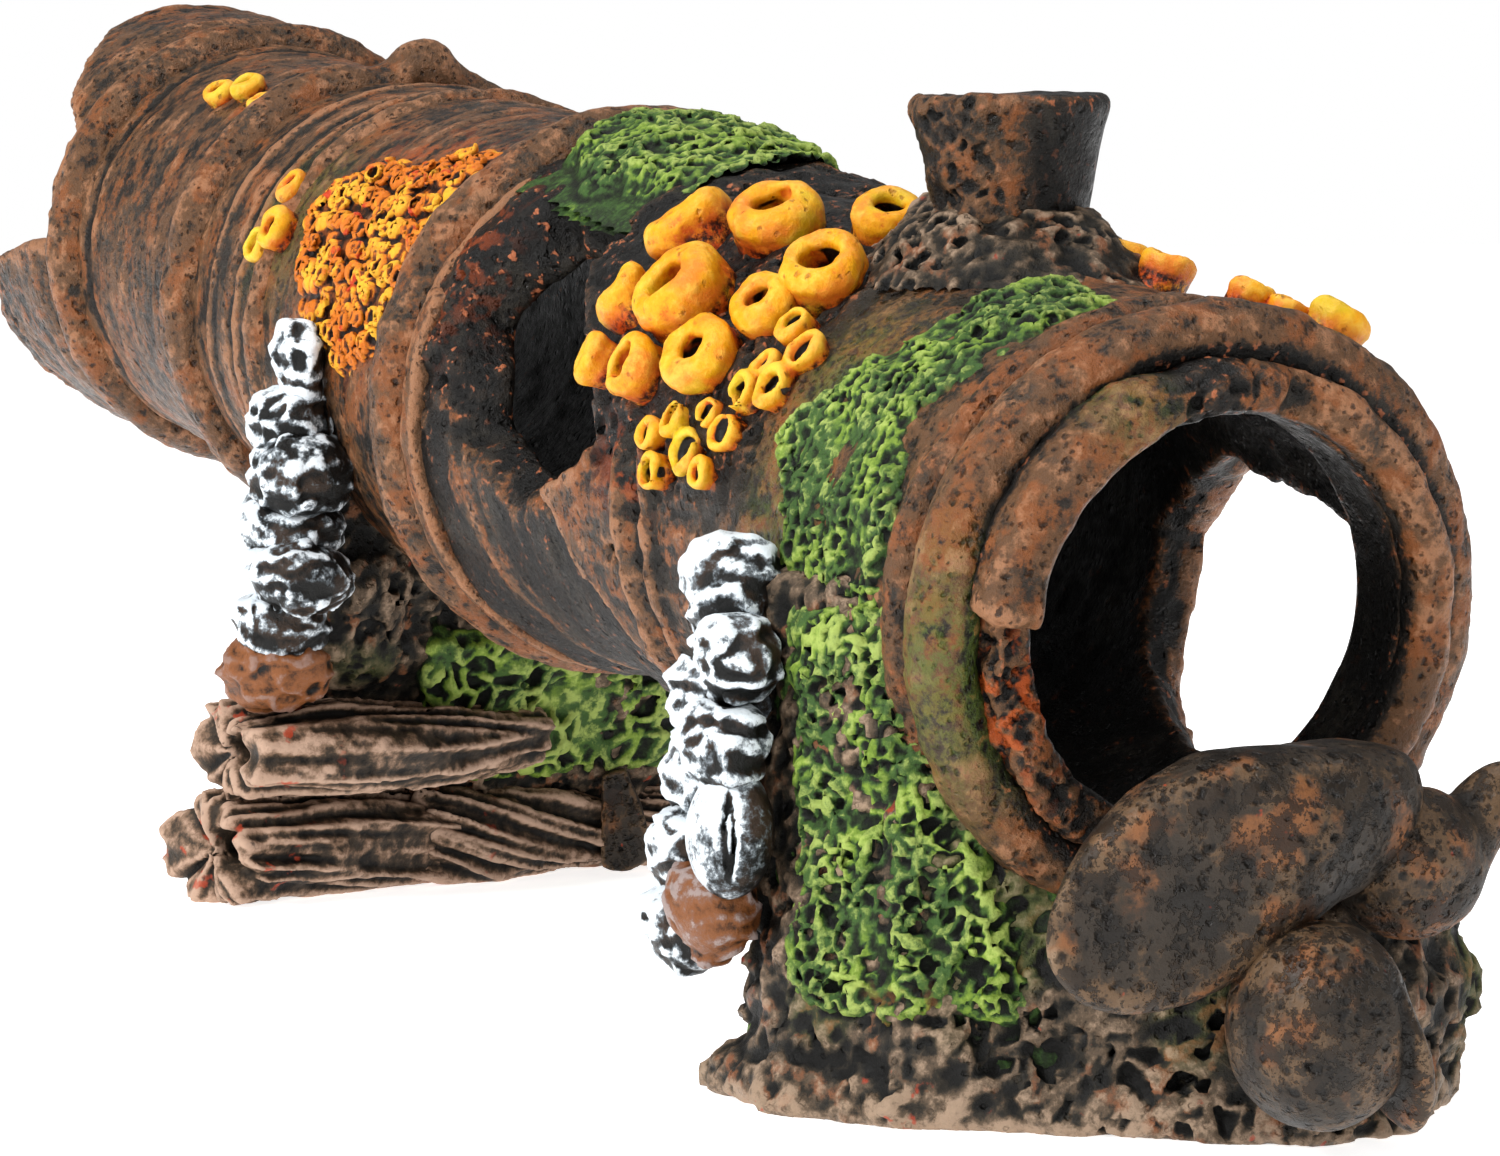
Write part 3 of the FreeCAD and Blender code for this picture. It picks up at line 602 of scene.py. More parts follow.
def moss_paint():
    """Spongy moss: black-green holes, green walls and yellow-green brushed tips."""
    work = Paintwork("moss_paint", paint(8, 11, 6), 0.55, 0.25)
    amount, grain = brushed(work, 0.34, 0.7, 5.0, -0.02)
    amount = work.calculate("ADD", amount, work.calculate("MULTIPLY", work.mask("lush"), 0.30))
    work.coat(paint(30, 44, 18), work.rescale(amount, -0.35, 0.0))
    work.coat(paint(58, 88, 38), work.rescale(amount, -0.08, 0.26))
    tint = work.rescale(work.clouds(7.0, 3.0, 0.6), 0.44, 0.60)
    work.coat(paint(118, 146, 50), work.calculate("MULTIPLY", tint, work.rescale(amount, 0.10, 0.46)))
    work.coat(paint(182, 200, 104), work.calculate("MULTIPLY", work.rescale(amount, 0.40, 0.80), 0.7))
    rust = work.calculate("MULTIPLY", work.mask("rust"), work.rescale(work.clouds(1.8, 3.0, 0.6), 0.50, 0.62))
    work.coat(paint(146, 92, 46), work.calculate("MULTIPLY", rust, 0.8))
    work.height(grain, 0.35)
    return work.finish((0.4, 0.66), work.clouds(3.0, 2.0, 0.5))


def barnacle_paint():
    """Yellow barnacles, orange and red low down, with black wells."""
    work = Paintwork("barnacle_paint", paint(38, 16, 8), 0.42, 0.25)
    amount, grain = brushed(work, 0.34, 0.9, 5.0, 0.34)
    work.coat(paint(206, 88, 16), work.rescale(amount, -0.35, 0.05))
    work.coat(paint(236, 160, 14), work.rescale(amount, 0.05, 0.42))
    cheek = work.calculate("MULTIPLY", work.rescale(work.clouds(3.6, 3.0, 0.6), 0.46, 0.60), 0.75)
    work.coat(paint(232, 122, 38), cheek)
    lime = work.rescale(work.clouds(6.0, 2.0, 0.5), 0.54, 0.66)
    work.coat(paint(196, 188, 26), work.calculate("MULTIPLY", lime, 0.6))
    work.coat(paint(252, 208, 78), work.calculate("MULTIPLY", work.rescale(amount, 0.40, 0.8), 0.5))
    foot = work.calculate("MULTIPLY", work.mask("foot"), work.rescale(work.clouds(2.2, 4.0, 0.7), 0.30, 0.56))
    work.coat(paint(196, 66, 18), work.calculate("MULTIPLY", foot, 0.9))
    low_side = work.rescale(work.mask("foot"), 0.6, 1.0)
    deep = work.calculate("MULTIPLY", low_side, work.rescale(grain, 0.62, 0.40))
    work.coat(paint(40, 14, 8), deep)
    work.coat(paint(16, 9, 5), work.rescale(work.mask("well"), 0.35, 0.75))
    tiny = work.pits(0.9, 0.16)
    work.coat(paint(120, 52, 12), work.calculate("MULTIPLY", tiny, 0.6))
    work.height(grain, 0.2)
    work.height(tiny, -0.12)
    return work.finish((0.3, 0.5), work.clouds(3.0, 2.0, 0.5))


def coral_paint():
    """Dark crust with orange, yellow and red brushed over its rings."""
    work = Paintwork("coral_paint", paint(30, 17, 10), 0.5, 0.25)
    amount, grain = brushed(work, 0.30, 0.8, 6.0, 0.10)
    work.coat(paint(120, 62, 24), work.rescale(amount, -0.3, 0.05))
    work.coat(paint(214, 116, 26), work.rescale(amount, 0.02, 0.32))
    yellow = work.rescale(work.clouds(6.0, 3.0, 0.6), 0.44, 0.56)
    work.coat(paint(240, 178, 46), work.calculate("MULTIPLY", yellow, work.rescale(amount, 0.16, 0.46)))
    red = work.rescale(work.clouds(3.4, 3.0, 0.6), 0.58, 0.66)
    work.coat(paint(196, 62, 24), work.calculate("MULTIPLY", red, work.rescale(amount, 0.0, 0.3)))
    work.height(grain, 0.3)
    return work.finish((0.36, 0.6), work.clouds(3.0, 2.0, 0.5))


def shell_paint():
    """Black shells with blue-white strokes brushed over their raised edges, and a painted highlight in the
    same blue-white on the sides that face the key light.
    """
    work = Paintwork("shell_paint", paint(13, 13, 12), 0.42, 0.25)
    amount, grain = brushed(work, 0.34, 0.7, 4.0, -0.12)
    # Painted highlight: the lit mask brightens the sides of the shells that face the key light.
    amount = work.calculate("ADD", amount, work.calculate("MULTIPLY", work.mask("lit"), 0.55))
    brown = work.calculate("MULTIPLY", work.rescale(work.clouds(5.0, 3.0, 0.6), 0.46, 0.6),
                           work.rescale(amount, -0.4, 0.1))
    work.coat(paint(62, 46, 34), work.calculate("MULTIPLY", brown, 0.8))
    rust = work.calculate("MULTIPLY", work.mask("rust"), work.rescale(amount, -0.5, 0.1))
    work.coat(paint(140, 84, 44), rust)
    keep = work.calculate("SUBTRACT", 1.0, work.mask("rust"))
    work.coat(paint(104, 112, 118), work.calculate("MULTIPLY", work.rescale(amount, 0.04, 0.26), keep))
    work.coat(paint(226, 234, 240), work.calculate("MULTIPLY", work.rescale(amount, 0.20, 0.42), keep))
    work.height(grain, 0.25)
    return work.finish((0.32, 0.55), work.clouds(3.0, 2.0, 0.5))


# ---------------------------------------------------------------- shared shapes

# Level directions across the picture and towards the camera, and the side that faces the key light, where
# shells get a painted highlight.
ACROSS_VIEW = np.array([0.4188, 0.9081], np.float32)
VIEW_SIDE = np.array([0.9081, -0.4188], np.float32)
PAINTED_HIGHLIGHT_SIDE = (-0.34, -0.70, 0.62)
STUB_SMOOTH_SIDE = np.array([0.5, 0.86, 0.0])


def wall_solid(points, outer, inner, start, end, soft=0.8):
    """Hollow wall between two radii and two stations; each limit is a number or an array."""
    station, _, radius = barrel(points)
    shell = both(radius - outer, inner - radius, soft)
    ends = np.maximum(start - station, station - end)
    return both(shell, ends.astype(np.float32), soft)


def warped(points, reach, size, seed):
    """Points pushed about by noise, so that patterns built on them lose their regularity."""
    push = np.stack([noise(points, size, seed + axis) for axis in range(3)], axis=1)
    return points + np.float32(reach) * push


def creases(points, size, seed):
    """Thin crumpled ridge lines, from 0 to 1."""
    return np.clip(1 - 2.4 * np.abs(noise(points, size, seed)), 0, 1)


def crust(points, size, depth, seed):
    """Outward offset of crusty ground: lumps and grains with a few ragged holes."""
    first, _ = cells(warped(points, 0.4 * size, 0.7 * size, seed + 20), size, seed)
    chosen = ramp(noise(points, size * 2.0, seed + 9), -0.35, 0.15)
    holes = (1 - ramp(first, 0.08, 0.48)) * chosen
    lumps = 0.75 * fbm(points, size * 2.2, 3, seed + 3) + 0.45 * fbm(points, size * 0.75, 2, seed + 6)
    return depth * (lumps - holes)


def sponge(points, size, depth, seed):
    """Outward offset of a ragged network of ridges round deep holes."""
    moved = warped(points, 0.45 * size, size, seed + 5)
    first, second = cells(moved, size, seed)
    walls = 1 - ramp(second - first, 0.05, 0.5)
    grains = 0.5 * fbm(points, size * 0.6, 2, seed + 11)
    broken = ramp(noise(points, size * 1.7, seed + 12), -0.9, 0.1)
    return depth * (walls * broken + grains)


def tower(points, levels):
    """Distance to a solid that blends from one level outline to the next."""
    heights = [height for height, _ in levels]
    total = polygon(points[:, 0], points[:, 1], levels[0][1])
    for low, high, (_, outline) in zip(heights, heights[1:], levels[1:]):
        share = np.clip((points[:, 2] - low) / (high - low), 0, 1)
        total = total + share * (polygon(points[:, 0], points[:, 1], outline) - total)
    return total.astype(np.float32)


def facing(points):
    """Place across and up the side that faces the camera, for outlines of growths."""
    return points[:, :2] @ ACROSS_VIEW, points[:, 2]


def node_box(*nodes):
    """Lowest and highest corners of CAD nodes, in millimetres."""
    boxes = [np.array(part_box(node)) / METRES for node in nodes]
    return np.min([box[0] for box in boxes], axis=0), np.max([box[1] for box in boxes], axis=0)


def plain_masks(**values):
    """Mask function for masks that are the same all over."""
    def masks(points, normals):
        return {label: np.full(len(points), value, np.float32) for label, value in values.items()}
    return masks


def cannon_masks(crust_and_shade_of=None, green_of=None, orange_of=None):
    """Masks of the cannon paint, worked out in barrel coordinates."""
    def masks(points, normals):
        station, angle, radius = barrel(points)
        made = {}
        for label, chosen in (("rough", crust_and_shade_of), ("green", green_of), ("orange", orange_of)):
            if chosen:
                made[label] = np.clip(chosen(station, angle, radius), 0, 1.3)
            else:
                made[label] = np.zeros(len(points), np.float32)
        return made
    return masks


# ---------------------------------------------------------------- barrel pieces

FLAP_EDGE = [(-180, 64), (-140, 71), (-115, 75), (-100, 83), (-88, 80), (-75, 86), (-60, 84), (-40, 90),
             (0, 92), (30, 89), (48, 86), (60, 79), (72, 72), (82, 70), (88, 73), (95, 81), (101, 77.5),
             (108, 75.5), (116, 71), (125, 67.5), (143, 66), (165, 64), (180, 64)]
FAR_WINDOW = [(30, -70), (14, -70), (7, -77), (4.5, -88), (4, -108), (6, -128), (11, -140), (27, -142),
              (37, -127), (43, -112), (45, -94), (37, -78)]
NEAR_WINDOW = [(78, 45), (93, 32), (105, 40), (109, 64), (104, 90), (92, 99), (72, 92), (69, 82), (76, 60)]
BREECH_RIM = [(-180, 270), (-150, 268), (-125, 272), (-90, 257), (-50, 260), (0, 271), (25, 270), (60, 250),
              (90, 250), (100, 268), (125, 276), (155, 271), (180, 270)]
WALL_ARC = 0.42


def opening(station, angle, outline):
    """Distance to a window outline given as stations and angles on the barrel wall."""
    flat = [(place, turn * WALL_ARC) for place, turn in outline]
    return polygon(station, angle * WALL_ARC, flat)


def crag_zone(station, angle):
    """Share of crusty ground on the front half: under the barnacles and behind the stub."""
    return ramp(station, 34, 44) * ramp(92 - angle, 0, 12) * ramp(angle, -30, -6)


def front_barrel(material):
    """Front half: pointed broken flap on the near side and the far window."""
    def solid(points):
        station, angle, _ = barrel(points)
        outer = front_wall(station) + 0.5 * fbm(points, 14, 2, 11) + 0.34 * fbm(points, 2.2, 3, 12)
        crag = crag_zone(station, angle)
        outer += crag * (crust(points, 2.6, 1.2, 13) + 0.2)
        low_side = ramp(angle, 62, 82) * ramp(170 - angle, 0, 20)
        drift = 0.05 * (angle - 94)
        outer += low_side * (1.0 * bump(station + drift, 62.5, 2.0) - 1.0 * bump(station + drift, 59.3, 1.8)
                             + 0.7 * bump(station + drift, 56.2, 1.8))
        strokes = fbm(points * np.array([0.3, 1, 1], np.float32), 2.2, 3, 15)
        outer += 0.5 * strokes * ramp(angle, 62, 92)
        inner = np.where(station < 63, 21.0, 26.5) + 0.7 * fbm(points, 5, 3, 16)
        edge = around(angle, FLAP_EDGE) + 1.4 * fbm(points, 4, 3, 17)
        shell = wall_solid(points, outer, inner, 3.0, edge, 0.7)
        hole = opening(station, angle, FAR_WINDOW) + 2.0 * fbm(points, 6, 4, 18)
        return carve(shell, hole, 0.8)

    def crust_and_shade_of(station, angle, radius):
        # Crusty ground, plus painted shade on the bore wall inside radius 24 mm.
        return crag_zone(station, angle) + ramp(24 - radius, 0, 1)

    def green_of(station, angle, radius):
        return 0.8 * bump(station, 30, 10) * ramp(angle, 20, 50) * ramp(125 - angle, 0, 20)

    def orange_of(station, angle, radius):
        return 0.5 * bump(station, 62, 10) * bump(angle, 84, 14)

    low, high = node_box("front_barrel")
    return sculpt("front_barrel_cast", ["front_barrel"], material, solid, low, high, 0.66,
                  cannon_masks(crust_and_shade_of, green_of, orange_of))


def collar_crag(angle):
    """Share of crusty ground on the broken collar."""
    return ramp(angle, -40, 10) * ramp(104 - angle, 0, 22)


def break_collar(material):
    """Rough wall between the halves, open at the near window."""
    def solid(points):
        station, angle, radius = barrel(points)
        crag = collar_crag(angle)
        outer = 26.4 + 2.0 * ramp(station, 94, 116) + 0.4 * fbm(points, 10, 2, 21)
        outer += crag * (crust(points, 2.8, 1.7, 22) + 0.8 * fbm(points, 8, 2, 27))
        strokes = fbm(points * np.array([1, 0.4, 0.4], np.float32), 2.0, 3, 24)
        outer += (1 - crag) * (0.6 * strokes + 0.5 * fbm(points, 6, 2, 28))
        inner = 21.0 + 0.8 * fbm(points, 5, 3, 25)
        shell = wall_solid(points, outer, inner, 62.5, 118.0, 0.6)
        funnel = 0.35 * np.clip(radius - 21, 0, 8)
        hole = opening(station, angle, NEAR_WINDOW) - funnel + 2.0 * fbm(points, 6, 4, 26)
        return carve(shell, hole, 1.6)

    def crust_and_shade_of(station, angle, radius):
        # Crusty ground; a darker band on the low near side from 88 to 104 degrees, except along one streak;
        # and painted shade on the bore wall inside radius 24 mm.
        streak = bump(station + 0.05 * (angle - 110), 103, 6)
        return 1.25 * collar_crag(angle) + 0.9 * ramp(angle, 88, 104) * (1 - streak) + ramp(24 - radius, 0, 1)

    def orange_of(station, angle, radius):
        return 0.45 * bump(station, 115, 8) * bump(angle, 56, 34)

    low, high = node_box("break_collar")
    return sculpt("break_collar_cast", ["break_collar"], material, solid, low - 2, high + 2, 0.68,
                  cannon_masks(crust_and_shade_of, None, orange_of))


def rear_barrel(material):
    """Rear half with a ragged open breech."""
    def solid(points):
        station, angle, _ = barrel(points)
        outer = rear_wall(station) + 0.5 * fbm(points, 16, 2, 31) + 0.3 * fbm(points, 2.4, 3, 32)
        strokes = fbm(points * np.array([1, 0.3, 0.3], np.float32), 2.2, 3, 33)
        outer += 0.28 * strokes
        outer += 0.6 * bump(station, 176, 1.8) - 0.5 * bump(station, 179.5, 1.6)
        outer += 0.5 * bump(station, 187, 1.6) - 0.4 * bump(station, 236, 2.0)
        outer += ramp(station, 262, 270) * crust(points, 2.4, 0.7, 36)
        inner = 21.0 + 3.0 * ramp(station, 240, 275) + 0.8 * fbm(points, 6, 3, 34)
        edge = around(angle, BREECH_RIM) + 1.8 * fbm(points, 5, 3, 35)
        return wall_solid(points, outer, inner, 116.5, edge, 0.9)

    def crust_and_shade_of(station, angle, radius):
        # Painted shade on the bore wall inside radius 24 mm, plus crusty ground at the breech rim.
        return 0.9 * ramp(24 - radius, 0, 1) + 0.5 * ramp(station, 262, 272)

    def green_of(station, angle, radius):
        return 0.7 * bump(station, 168, 14) * bump(angle, 60, 34)

    def orange_of(station, angle, radius):
        round_coral = bump(station, 142, 26) * bump(angle, 56, 46)
        return round_coral + 0.6 * bump(station, 205, 10) * bump(angle, 34, 12)

    low, high = node_box("rear_barrel")
    return sculpt("rear_barrel_cast", ["rear_barrel"], material, solid, low, high, 0.86,
                  cannon_masks(crust_and_shade_of, green_of, orange_of))


def ring(node, material, station, crest, half, seed, lift=None, stretch=1.0, rough=0.0, wear=0.35,
         step=0.55, core=None, green_of=None):
    """Rounded ring moulding with an uneven, hand-sculpted section."""
    def solid(points):
        place, angle, radius = barrel(points)
        wobble = wear * fbm(points, 9, 2, seed) + 0.36 * fbm(points, 2.0, 3, seed + 1)
        wobble = wobble - 0.5 * creases(points, 11, seed + 5) * ramp(noise(points, 7, seed + 6), -0.1, 0.4)
        middle = station + 0.5 * fbm(points, 18, 1, seed + 2)
        raised = lift(angle) if lift else 0.0
        shape = np.hypot((place - middle) / stretch, radius - (crest - half) - raised) - half - wobble
        if core:
            shape = both(shape, core - radius, 0.3)
        return shape.astype(np.float32)

    low, high = node_box(node)
    # Painted shade: the ring's foot and inner face, more than 0.8 of its half width below the crest, are
    # painted darker through the rough mask.
    masks = cannon_masks(lambda s, a, r: rough + 1.2 * ramp(crest - 0.8 * half - r, 0, 1.6), green_of)
    return sculpt(f"{node}_cast", [node], material, solid, low - 1.5, high + 1.5, step, masks)


def broken_peak(angle):
    """Torn top of the second hoop: a small peak, then a dip."""
    return 2.4 * bump(angle, -8, 12) - 1.4 * bump(angle, 6, 10)


def break_flange(material):
    """Crisp flat flange under the break hoop, ragged at both ends."""
    def solid(points):
        station, angle, radius = barrel(points)
        outer = 29.4 + 0.3 * fbm(points, 6, 2, 61) + 0.15 * fbm(points, 1.8, 2, 62)
        section = both(np.abs(station - 114.8 - 0.4 * fbm(points, 8, 2, 63)) - 1.5, radius - outer, 0.6)
        ends = np.maximum(64 - angle, angle - 168) * 0.45 + 1.2 * fbm(points, 4, 2, 64)
        return both(both(section, 25.6 - radius, 0.3), ends, 1.0)

    low, high = node_box("break_flange")
    return sculpt("break_flange_cast", ["break_flange"], material, solid, low - 2, high + 2, 0.5,
                  cannon_masks())


def muzzle_neck(material):
    """Short inner tube that shows as a crusty face where the lip is missing."""
    def solid(points):
        _, angle, _ = barrel(points)
        gap = ramp(angle, 84, 96) * ramp(156 - angle, 0, 12)
        outer = 22.2 + 0.3 * fbm(points, 6, 2, 71) + gap * crust(points, 1.7, 1.4, 72)
        inner = 18.2 + 0.3 * fbm(points, 5, 2, 73) + 0.25 * gap * crust(points, 1.7, 1.0, 74)
        start = -4.6 + 0.5 * fbm(points, 5, 2, 75) - gap * (crust(points, 1.8, 1.8, 76) + 0.3)
        return wall_solid(points, outer, inner, start, 4.2, 1.2)

    low, high = node_box("muzzle_neck")
    # Crusty face where the lip is missing, plus painted shade on the bore wall inside radius 19 mm.
    masks = cannon_masks(lambda s, a, r: ramp(a, 84, 96) * ramp(156 - a, 0, 12) * 0.6 + ramp(19 - r, 0, 1),
                         None, lambda s, a, r: 0.8 * bump(a, 108, 34))
    return sculpt("muzzle_neck_cast", ["muzzle_neck"], material, solid,
                  low - 2, high + 2, 0.5, masks)


def muzzle_lip(material):
    """Thick rounded lip: a broken plate at the upper left, honeycomb pits on top, smooth on the right."""
    def solid(points):
        station, angle, radius = barrel(points)
        plate = ramp(angle, 14, 30) * ramp(90 - angle, 0, 6)
        honeycomb = bump(angle, 10, 30)
        outer = 22.9 + 0.5 * fbm(points, 9, 2, 81) + 1.2 * plate
        start = -7.0 - 0.9 * plate + 0.5 * fbm(points, 7, 2, 82)
        outer += 0.4 * fbm(points, 2.2, 3, 83) + 0.4 * honeycomb * crust(points, 2.0, 1.0, 89)
        start -= 0.4 * fbm(points, 2.2, 3, 84) + honeycomb * (crust(points, 2.1, 1.6, 85) - 0.4)
        inner = 18.3 + 0.3 * fbm(points, 5, 2, 86)
        shell = wall_solid(points, outer, inner, start, -1.6, 2.6)
        break_noise = 1.6 * fbm(points, 4, 3, 87)
        gap = np.maximum(88 - angle, angle - 152) * 0.38 + break_noise
        dent = np.hypot((angle + 16) * 0.38, station + 7.5) - 2.2 - 0.8 * break_noise
        crack = np.abs(angle + 3 + 3 * fbm(points, 5, 2, 88)) * 0.38 - 0.45 * ramp(radius, 18, 26)
        return carve(carve(carve(shell, gap, 0.5), crack, 0.4), dent, 1.0)

    low, high = node_box("muzzle_lip")
    # Crusty honeycomb on top, plus painted shade on the bore wall and at the back of the lip, where it tucks
    # under the muzzle ring.
    masks = cannon_masks(lambda s, a, r: (bump(a, 10, 24) + ramp(18.9 - r, 0, 0.8)
                                          + 1.2 * ramp(s + 4.6, 0, 1.2)),
                         lambda s, a, r: 0.5 * bump(a, 30, 16))
    return sculpt("muzzle_lip_cast", ["muzzle_lip"], material, solid, low - 2, high + 2, 0.5, masks)


def trunnion_stub(material):
    """Flared stub: pitted crust on the near side, smooth on the far side."""
    middle = centre_of("trunnion_stub")
    low, high = node_box("trunnion_stub")

    def crusty(points):
        return ramp(-(points - middle) @ STUB_SMOOTH_SIDE, -1.5, 3.5)

    def solid(points):
        flat = points[:, :2] - middle[:2]
        reach = np.hypot(flat[:, 0], flat[:, 1])
        share = np.clip((points[:, 2] - low[2]) / (high[2] - low[2]), -0.3, 1.2)
        wall = 7.0 + 2.6 * np.clip(share, 0, 1) ** 1.6 + 0.25 * fbm(points, 5, 2, 91)
        crag = crusty(points)
        wall = wall + crag * (crust(points, 2.0, 1.1, 92) + 0.3) + 0.12 * fbm(points, 1.8, 2, 93)
        top = high[2] - 0.7 + 0.6 * fbm(points, 5, 3, 94) + crag * crust(points, 2.0, 0.7, 95)
        sides = reach - wall
        return both(both(sides, points[:, 2] - top, 1.6), low[2] - 3 - points[:, 2], 0.2).astype(np.float32)

    def masks(points, normals):
        # Painted shade: the smooth far side, away from the key light, is painted darker; the crust adds a
        # little dark too.
        dark = 0.35 * crusty(points) + 0.95 * ramp((points - middle) @ STUB_SMOOTH_SIDE, 0, 4)
        return {"rough": dark, "green": np.zeros(len(points)), "orange": np.zeros(len(points))}

    return sculpt("trunnion_stub_cast", ["trunnion_stub"], material, solid,
                  low - [2, 2, 3], high + 1.5,
                  0.42, masks)


def stub_collar(material):
    """Rubble heaped round the foot of the stub."""
    middle = centre_of("trunnion_stub")
    low, high = node_box("stub_collar")

    def solid(points):
        _, _, radius = barrel(points)
        flat = points[:, :2] - middle[:2]
        reach = np.hypot(flat[:, 0] * 0.92, flat[:, 1])
        height = 5.2 * (1 - ramp(reach, 6.5, 15.5))
        surface = radius - 26.0 - height - crust(points, 2.3, 1.8, 101)
        edge = reach - 15.5 - 1.6 * fbm(points, 5, 2, 102)
        return both(both(surface, edge, 1.0), 24.5 - radius, 0.3).astype(np.float32)

    return sculpt("stub_rubble", ["stub_collar"], material, solid, low - 3, high + 2.5, 0.48,
                  plain_masks(edge=0.35, green=0.0))


# ---------------------------------------------------------------- growths

MOSS_REAR_EDGE = [(-10, 22), (10, 23), (39, 25), (60, 33), (68, 35), (75, 31), (90, 29), (110, 30), (130, 30)]
MOSS_FRONT_EDGE = [(-10, 11), (12, 10), (34, 10), (48, 12), (56, 14), (66, 10), (74, 8), (89, 8), (130, 9)]
# Leg moss: heights of its foot and top, then the middle and half width at each, across the near side.
FRONT_MOSS = {"foot": 9, "top": 46, "foot_middle": 28, "foot_half": 12, "top_middle": 21, "top_half": 5}
REAR_MOSS = {"foot": 11, "top": 30, "foot_middle": -9, "foot_half": 15, "top_middle": -8, "top_half": 16}


def tapered(across, height, band):
    """Signed distance to an upright band that narrows from its foot to its top."""
    tall = band["top"] - band["foot"]
    share = np.clip((height - band["foot"]) / tall, 0, 1)
    middle = band["foot_middle"] + (band["top_middle"] - band["foot_middle"]) * share
    half = band["foot_half"] + (band["top_half"] - band["foot_half"]) * share
    upright = np.abs(height - band["foot"] - tall / 2) - tall / 2
    return both(np.abs(across - middle) - half, upright, 4.0)


def patch(points, wall, edge, depth, texture):
    """Growth on the barrel wall that thins out to nothing at its edge."""
    _, _, radius = barrel(points)
    inward = ramp(-edge, -0.4, 2.2)
    outer = wall - 0.9 + inward * (depth + texture)
    return np.maximum(radius - outer, wall - 1.6 - radius).astype(np.float32)


def moss_band(material):
    """Moss round the muzzle end of the barrel, from the top down to the leg."""
    def edge_of(points):
        station, angle, _ = barrel(points)
        rear = around(angle, MOSS_REAR_EDGE)
        front = around(angle, MOSS_FRONT_EDGE)
        along = np.maximum(station - rear, front - station)
        return np.maximum(along, np.maximum(4 - angle, angle - 130) * WALL_ARC) + 2.0 * fbm(points, 5, 4, 111)

    def smooth_zone(station, angle):
        return bump(angle, 64, 16) * bump(station, 24, 12)

    def solid(points):
        station, angle, _ = barrel(points)
        texture = sponge(points, 1.5, 0.9, 112) * (1 - 0.75 * smooth_zone(station, angle))
        texture = texture + 0.8 * fbm(points, 4, 3, 115) - 0.2
        return patch(points, front_wall(station), edge_of(points), 1.3, texture)

    def masks(points, normals):
        station, angle, _ = barrel(points)
        return {"lush": ramp(-edge_of(points), -0.6, 1.2) * (0.35 + 0.9 * smooth_zone(station, angle)),
                "rust": 0.8 * ramp(edge_of(points), -2.0, 0.6)}

    low, high = node_box("moss_band")
    return sculpt("moss_band_cast", ["moss_band"], material, solid, low - 4, high + 4, 0.46, masks)


def top_moss(material):
    """Cushion of moss on top, in front of the break hoop."""
    def edge_of(points):
        station, angle, _ = barrel(points)
        outline = [(117, -16), (119, 6), (116, 26), (104, 31), (92, 30), (84, 22), (81, 4), (84, -14),
                   (96, -20)]
        return opening(station, angle, outline) + 1.8 * fbm(points, 5, 4, 121)

    def solid(points):
        station, angle, _ = barrel(points)
        wall = 28.4 + 0.6 * ramp(station, 90, 110)
        mound = 1.2 + 1.5 * bump(station, 104, 26) * bump(angle, 4, 34)
        texture = sponge(points, 1.7, 0.9, 122) + 1.0 * fbm(points, 4, 3, 125)
        return patch(points, wall, edge_of(points), mound, texture)

    def masks(points, normals):
        return {"lush": 0.2 + 0.5 * ramp(-edge_of(points), 0, 3), "rust": np.zeros(len(points))}

    low, high = node_box("top_moss")
    return sculpt("top_moss_cast", ["top_moss"], material, solid, low - 4, high + 4, 0.46, masks)


def coral_crust(material):
    """Crust of small coral rings on the near shoulder of the rear half."""
    outline = [(122, 42), (124, 30), (134, 24), (143, 34), (152, 36), (161, 46), (163, 60), (158, 74),
               (150, 88),
               (138, 90), (128, 86), (123, 70)]

    def edge_of(points):
        station, angle, _ = barrel(points)
        return opening(station, angle, outline) + 2.4 * fbm(points, 6, 4, 131)

    def solid(points):
        station, _, _ = barrel(points)
        first, _ = cells(points, 2.5, 132)
        rings = 1.3 * bump(first, 0.42, 0.20) - 0.5 * (1 - ramp(first, 0.1, 0.25))
        texture = rings + 0.5 * fbm(points, 2.0, 3, 135)
        return patch(points, rear_wall(station), edge_of(points), 1.1, texture)

    def masks(points, normals):
        return {}

    low, high = node_box("coral_crust")
    return sculpt("coral_crust_cast", ["coral_crust"], material, solid,
                  low - 4, high + 4, 0.42, masks)


# ---------------------------------------------------------------- rocks

FRONT_LEVELS = [
    (0, [(93, -33), (106, -33.5), (119, -27), (129, -12), (141, 3), (139, 15), (127, 26), (112, 34), (98, 33),
         (92, 12), (90, -12)]),
    (12, [(94, -32), (107, -32), (119, -25.5), (129, -12), (139, 3), (138, 17), (130, 28), (114, 34),
          (99, 31),
          (94, 12), (92, -12)]),
    (26, [(95, -31.5), (107, -30.5), (118, -25), (126, -12), (132, 2), (133, 15), (127, 26), (113, 31),
          (100, 27), (97, 11), (95, -12)]),
    (46, [(96, -31), (106, -30), (113, -28.5), (117, -26), (118, -22), (117, -18), (113, -16), (108, -15),
          (103, -15), (98, -17), (96, -22)])]
REAR_LEVELS = [
    (0, [(-66, -20), (-52, -26), (-44, -22), (-42, 0), (-42, 22), (-48, 30), (-62, 27), (-68, 2)]),
    (12, [(-62, -22), (-46, -27), (-37, -22), (-36, 0), (-36, 22), (-42, 29), (-58, 26), (-64, 2)]),
    (28, [(-50, -27), (-38, -29), (-25, -27), (-28, 0), (-30, 19), (-36, 27), (-50, 24), (-54, 2)]),
    (52, [(-34, -29.5), (-28, -30.5), (-22, -29), (-21, -22), (-22, -14), (-28, -10), (-33, -14),
          (-35, -22)])]


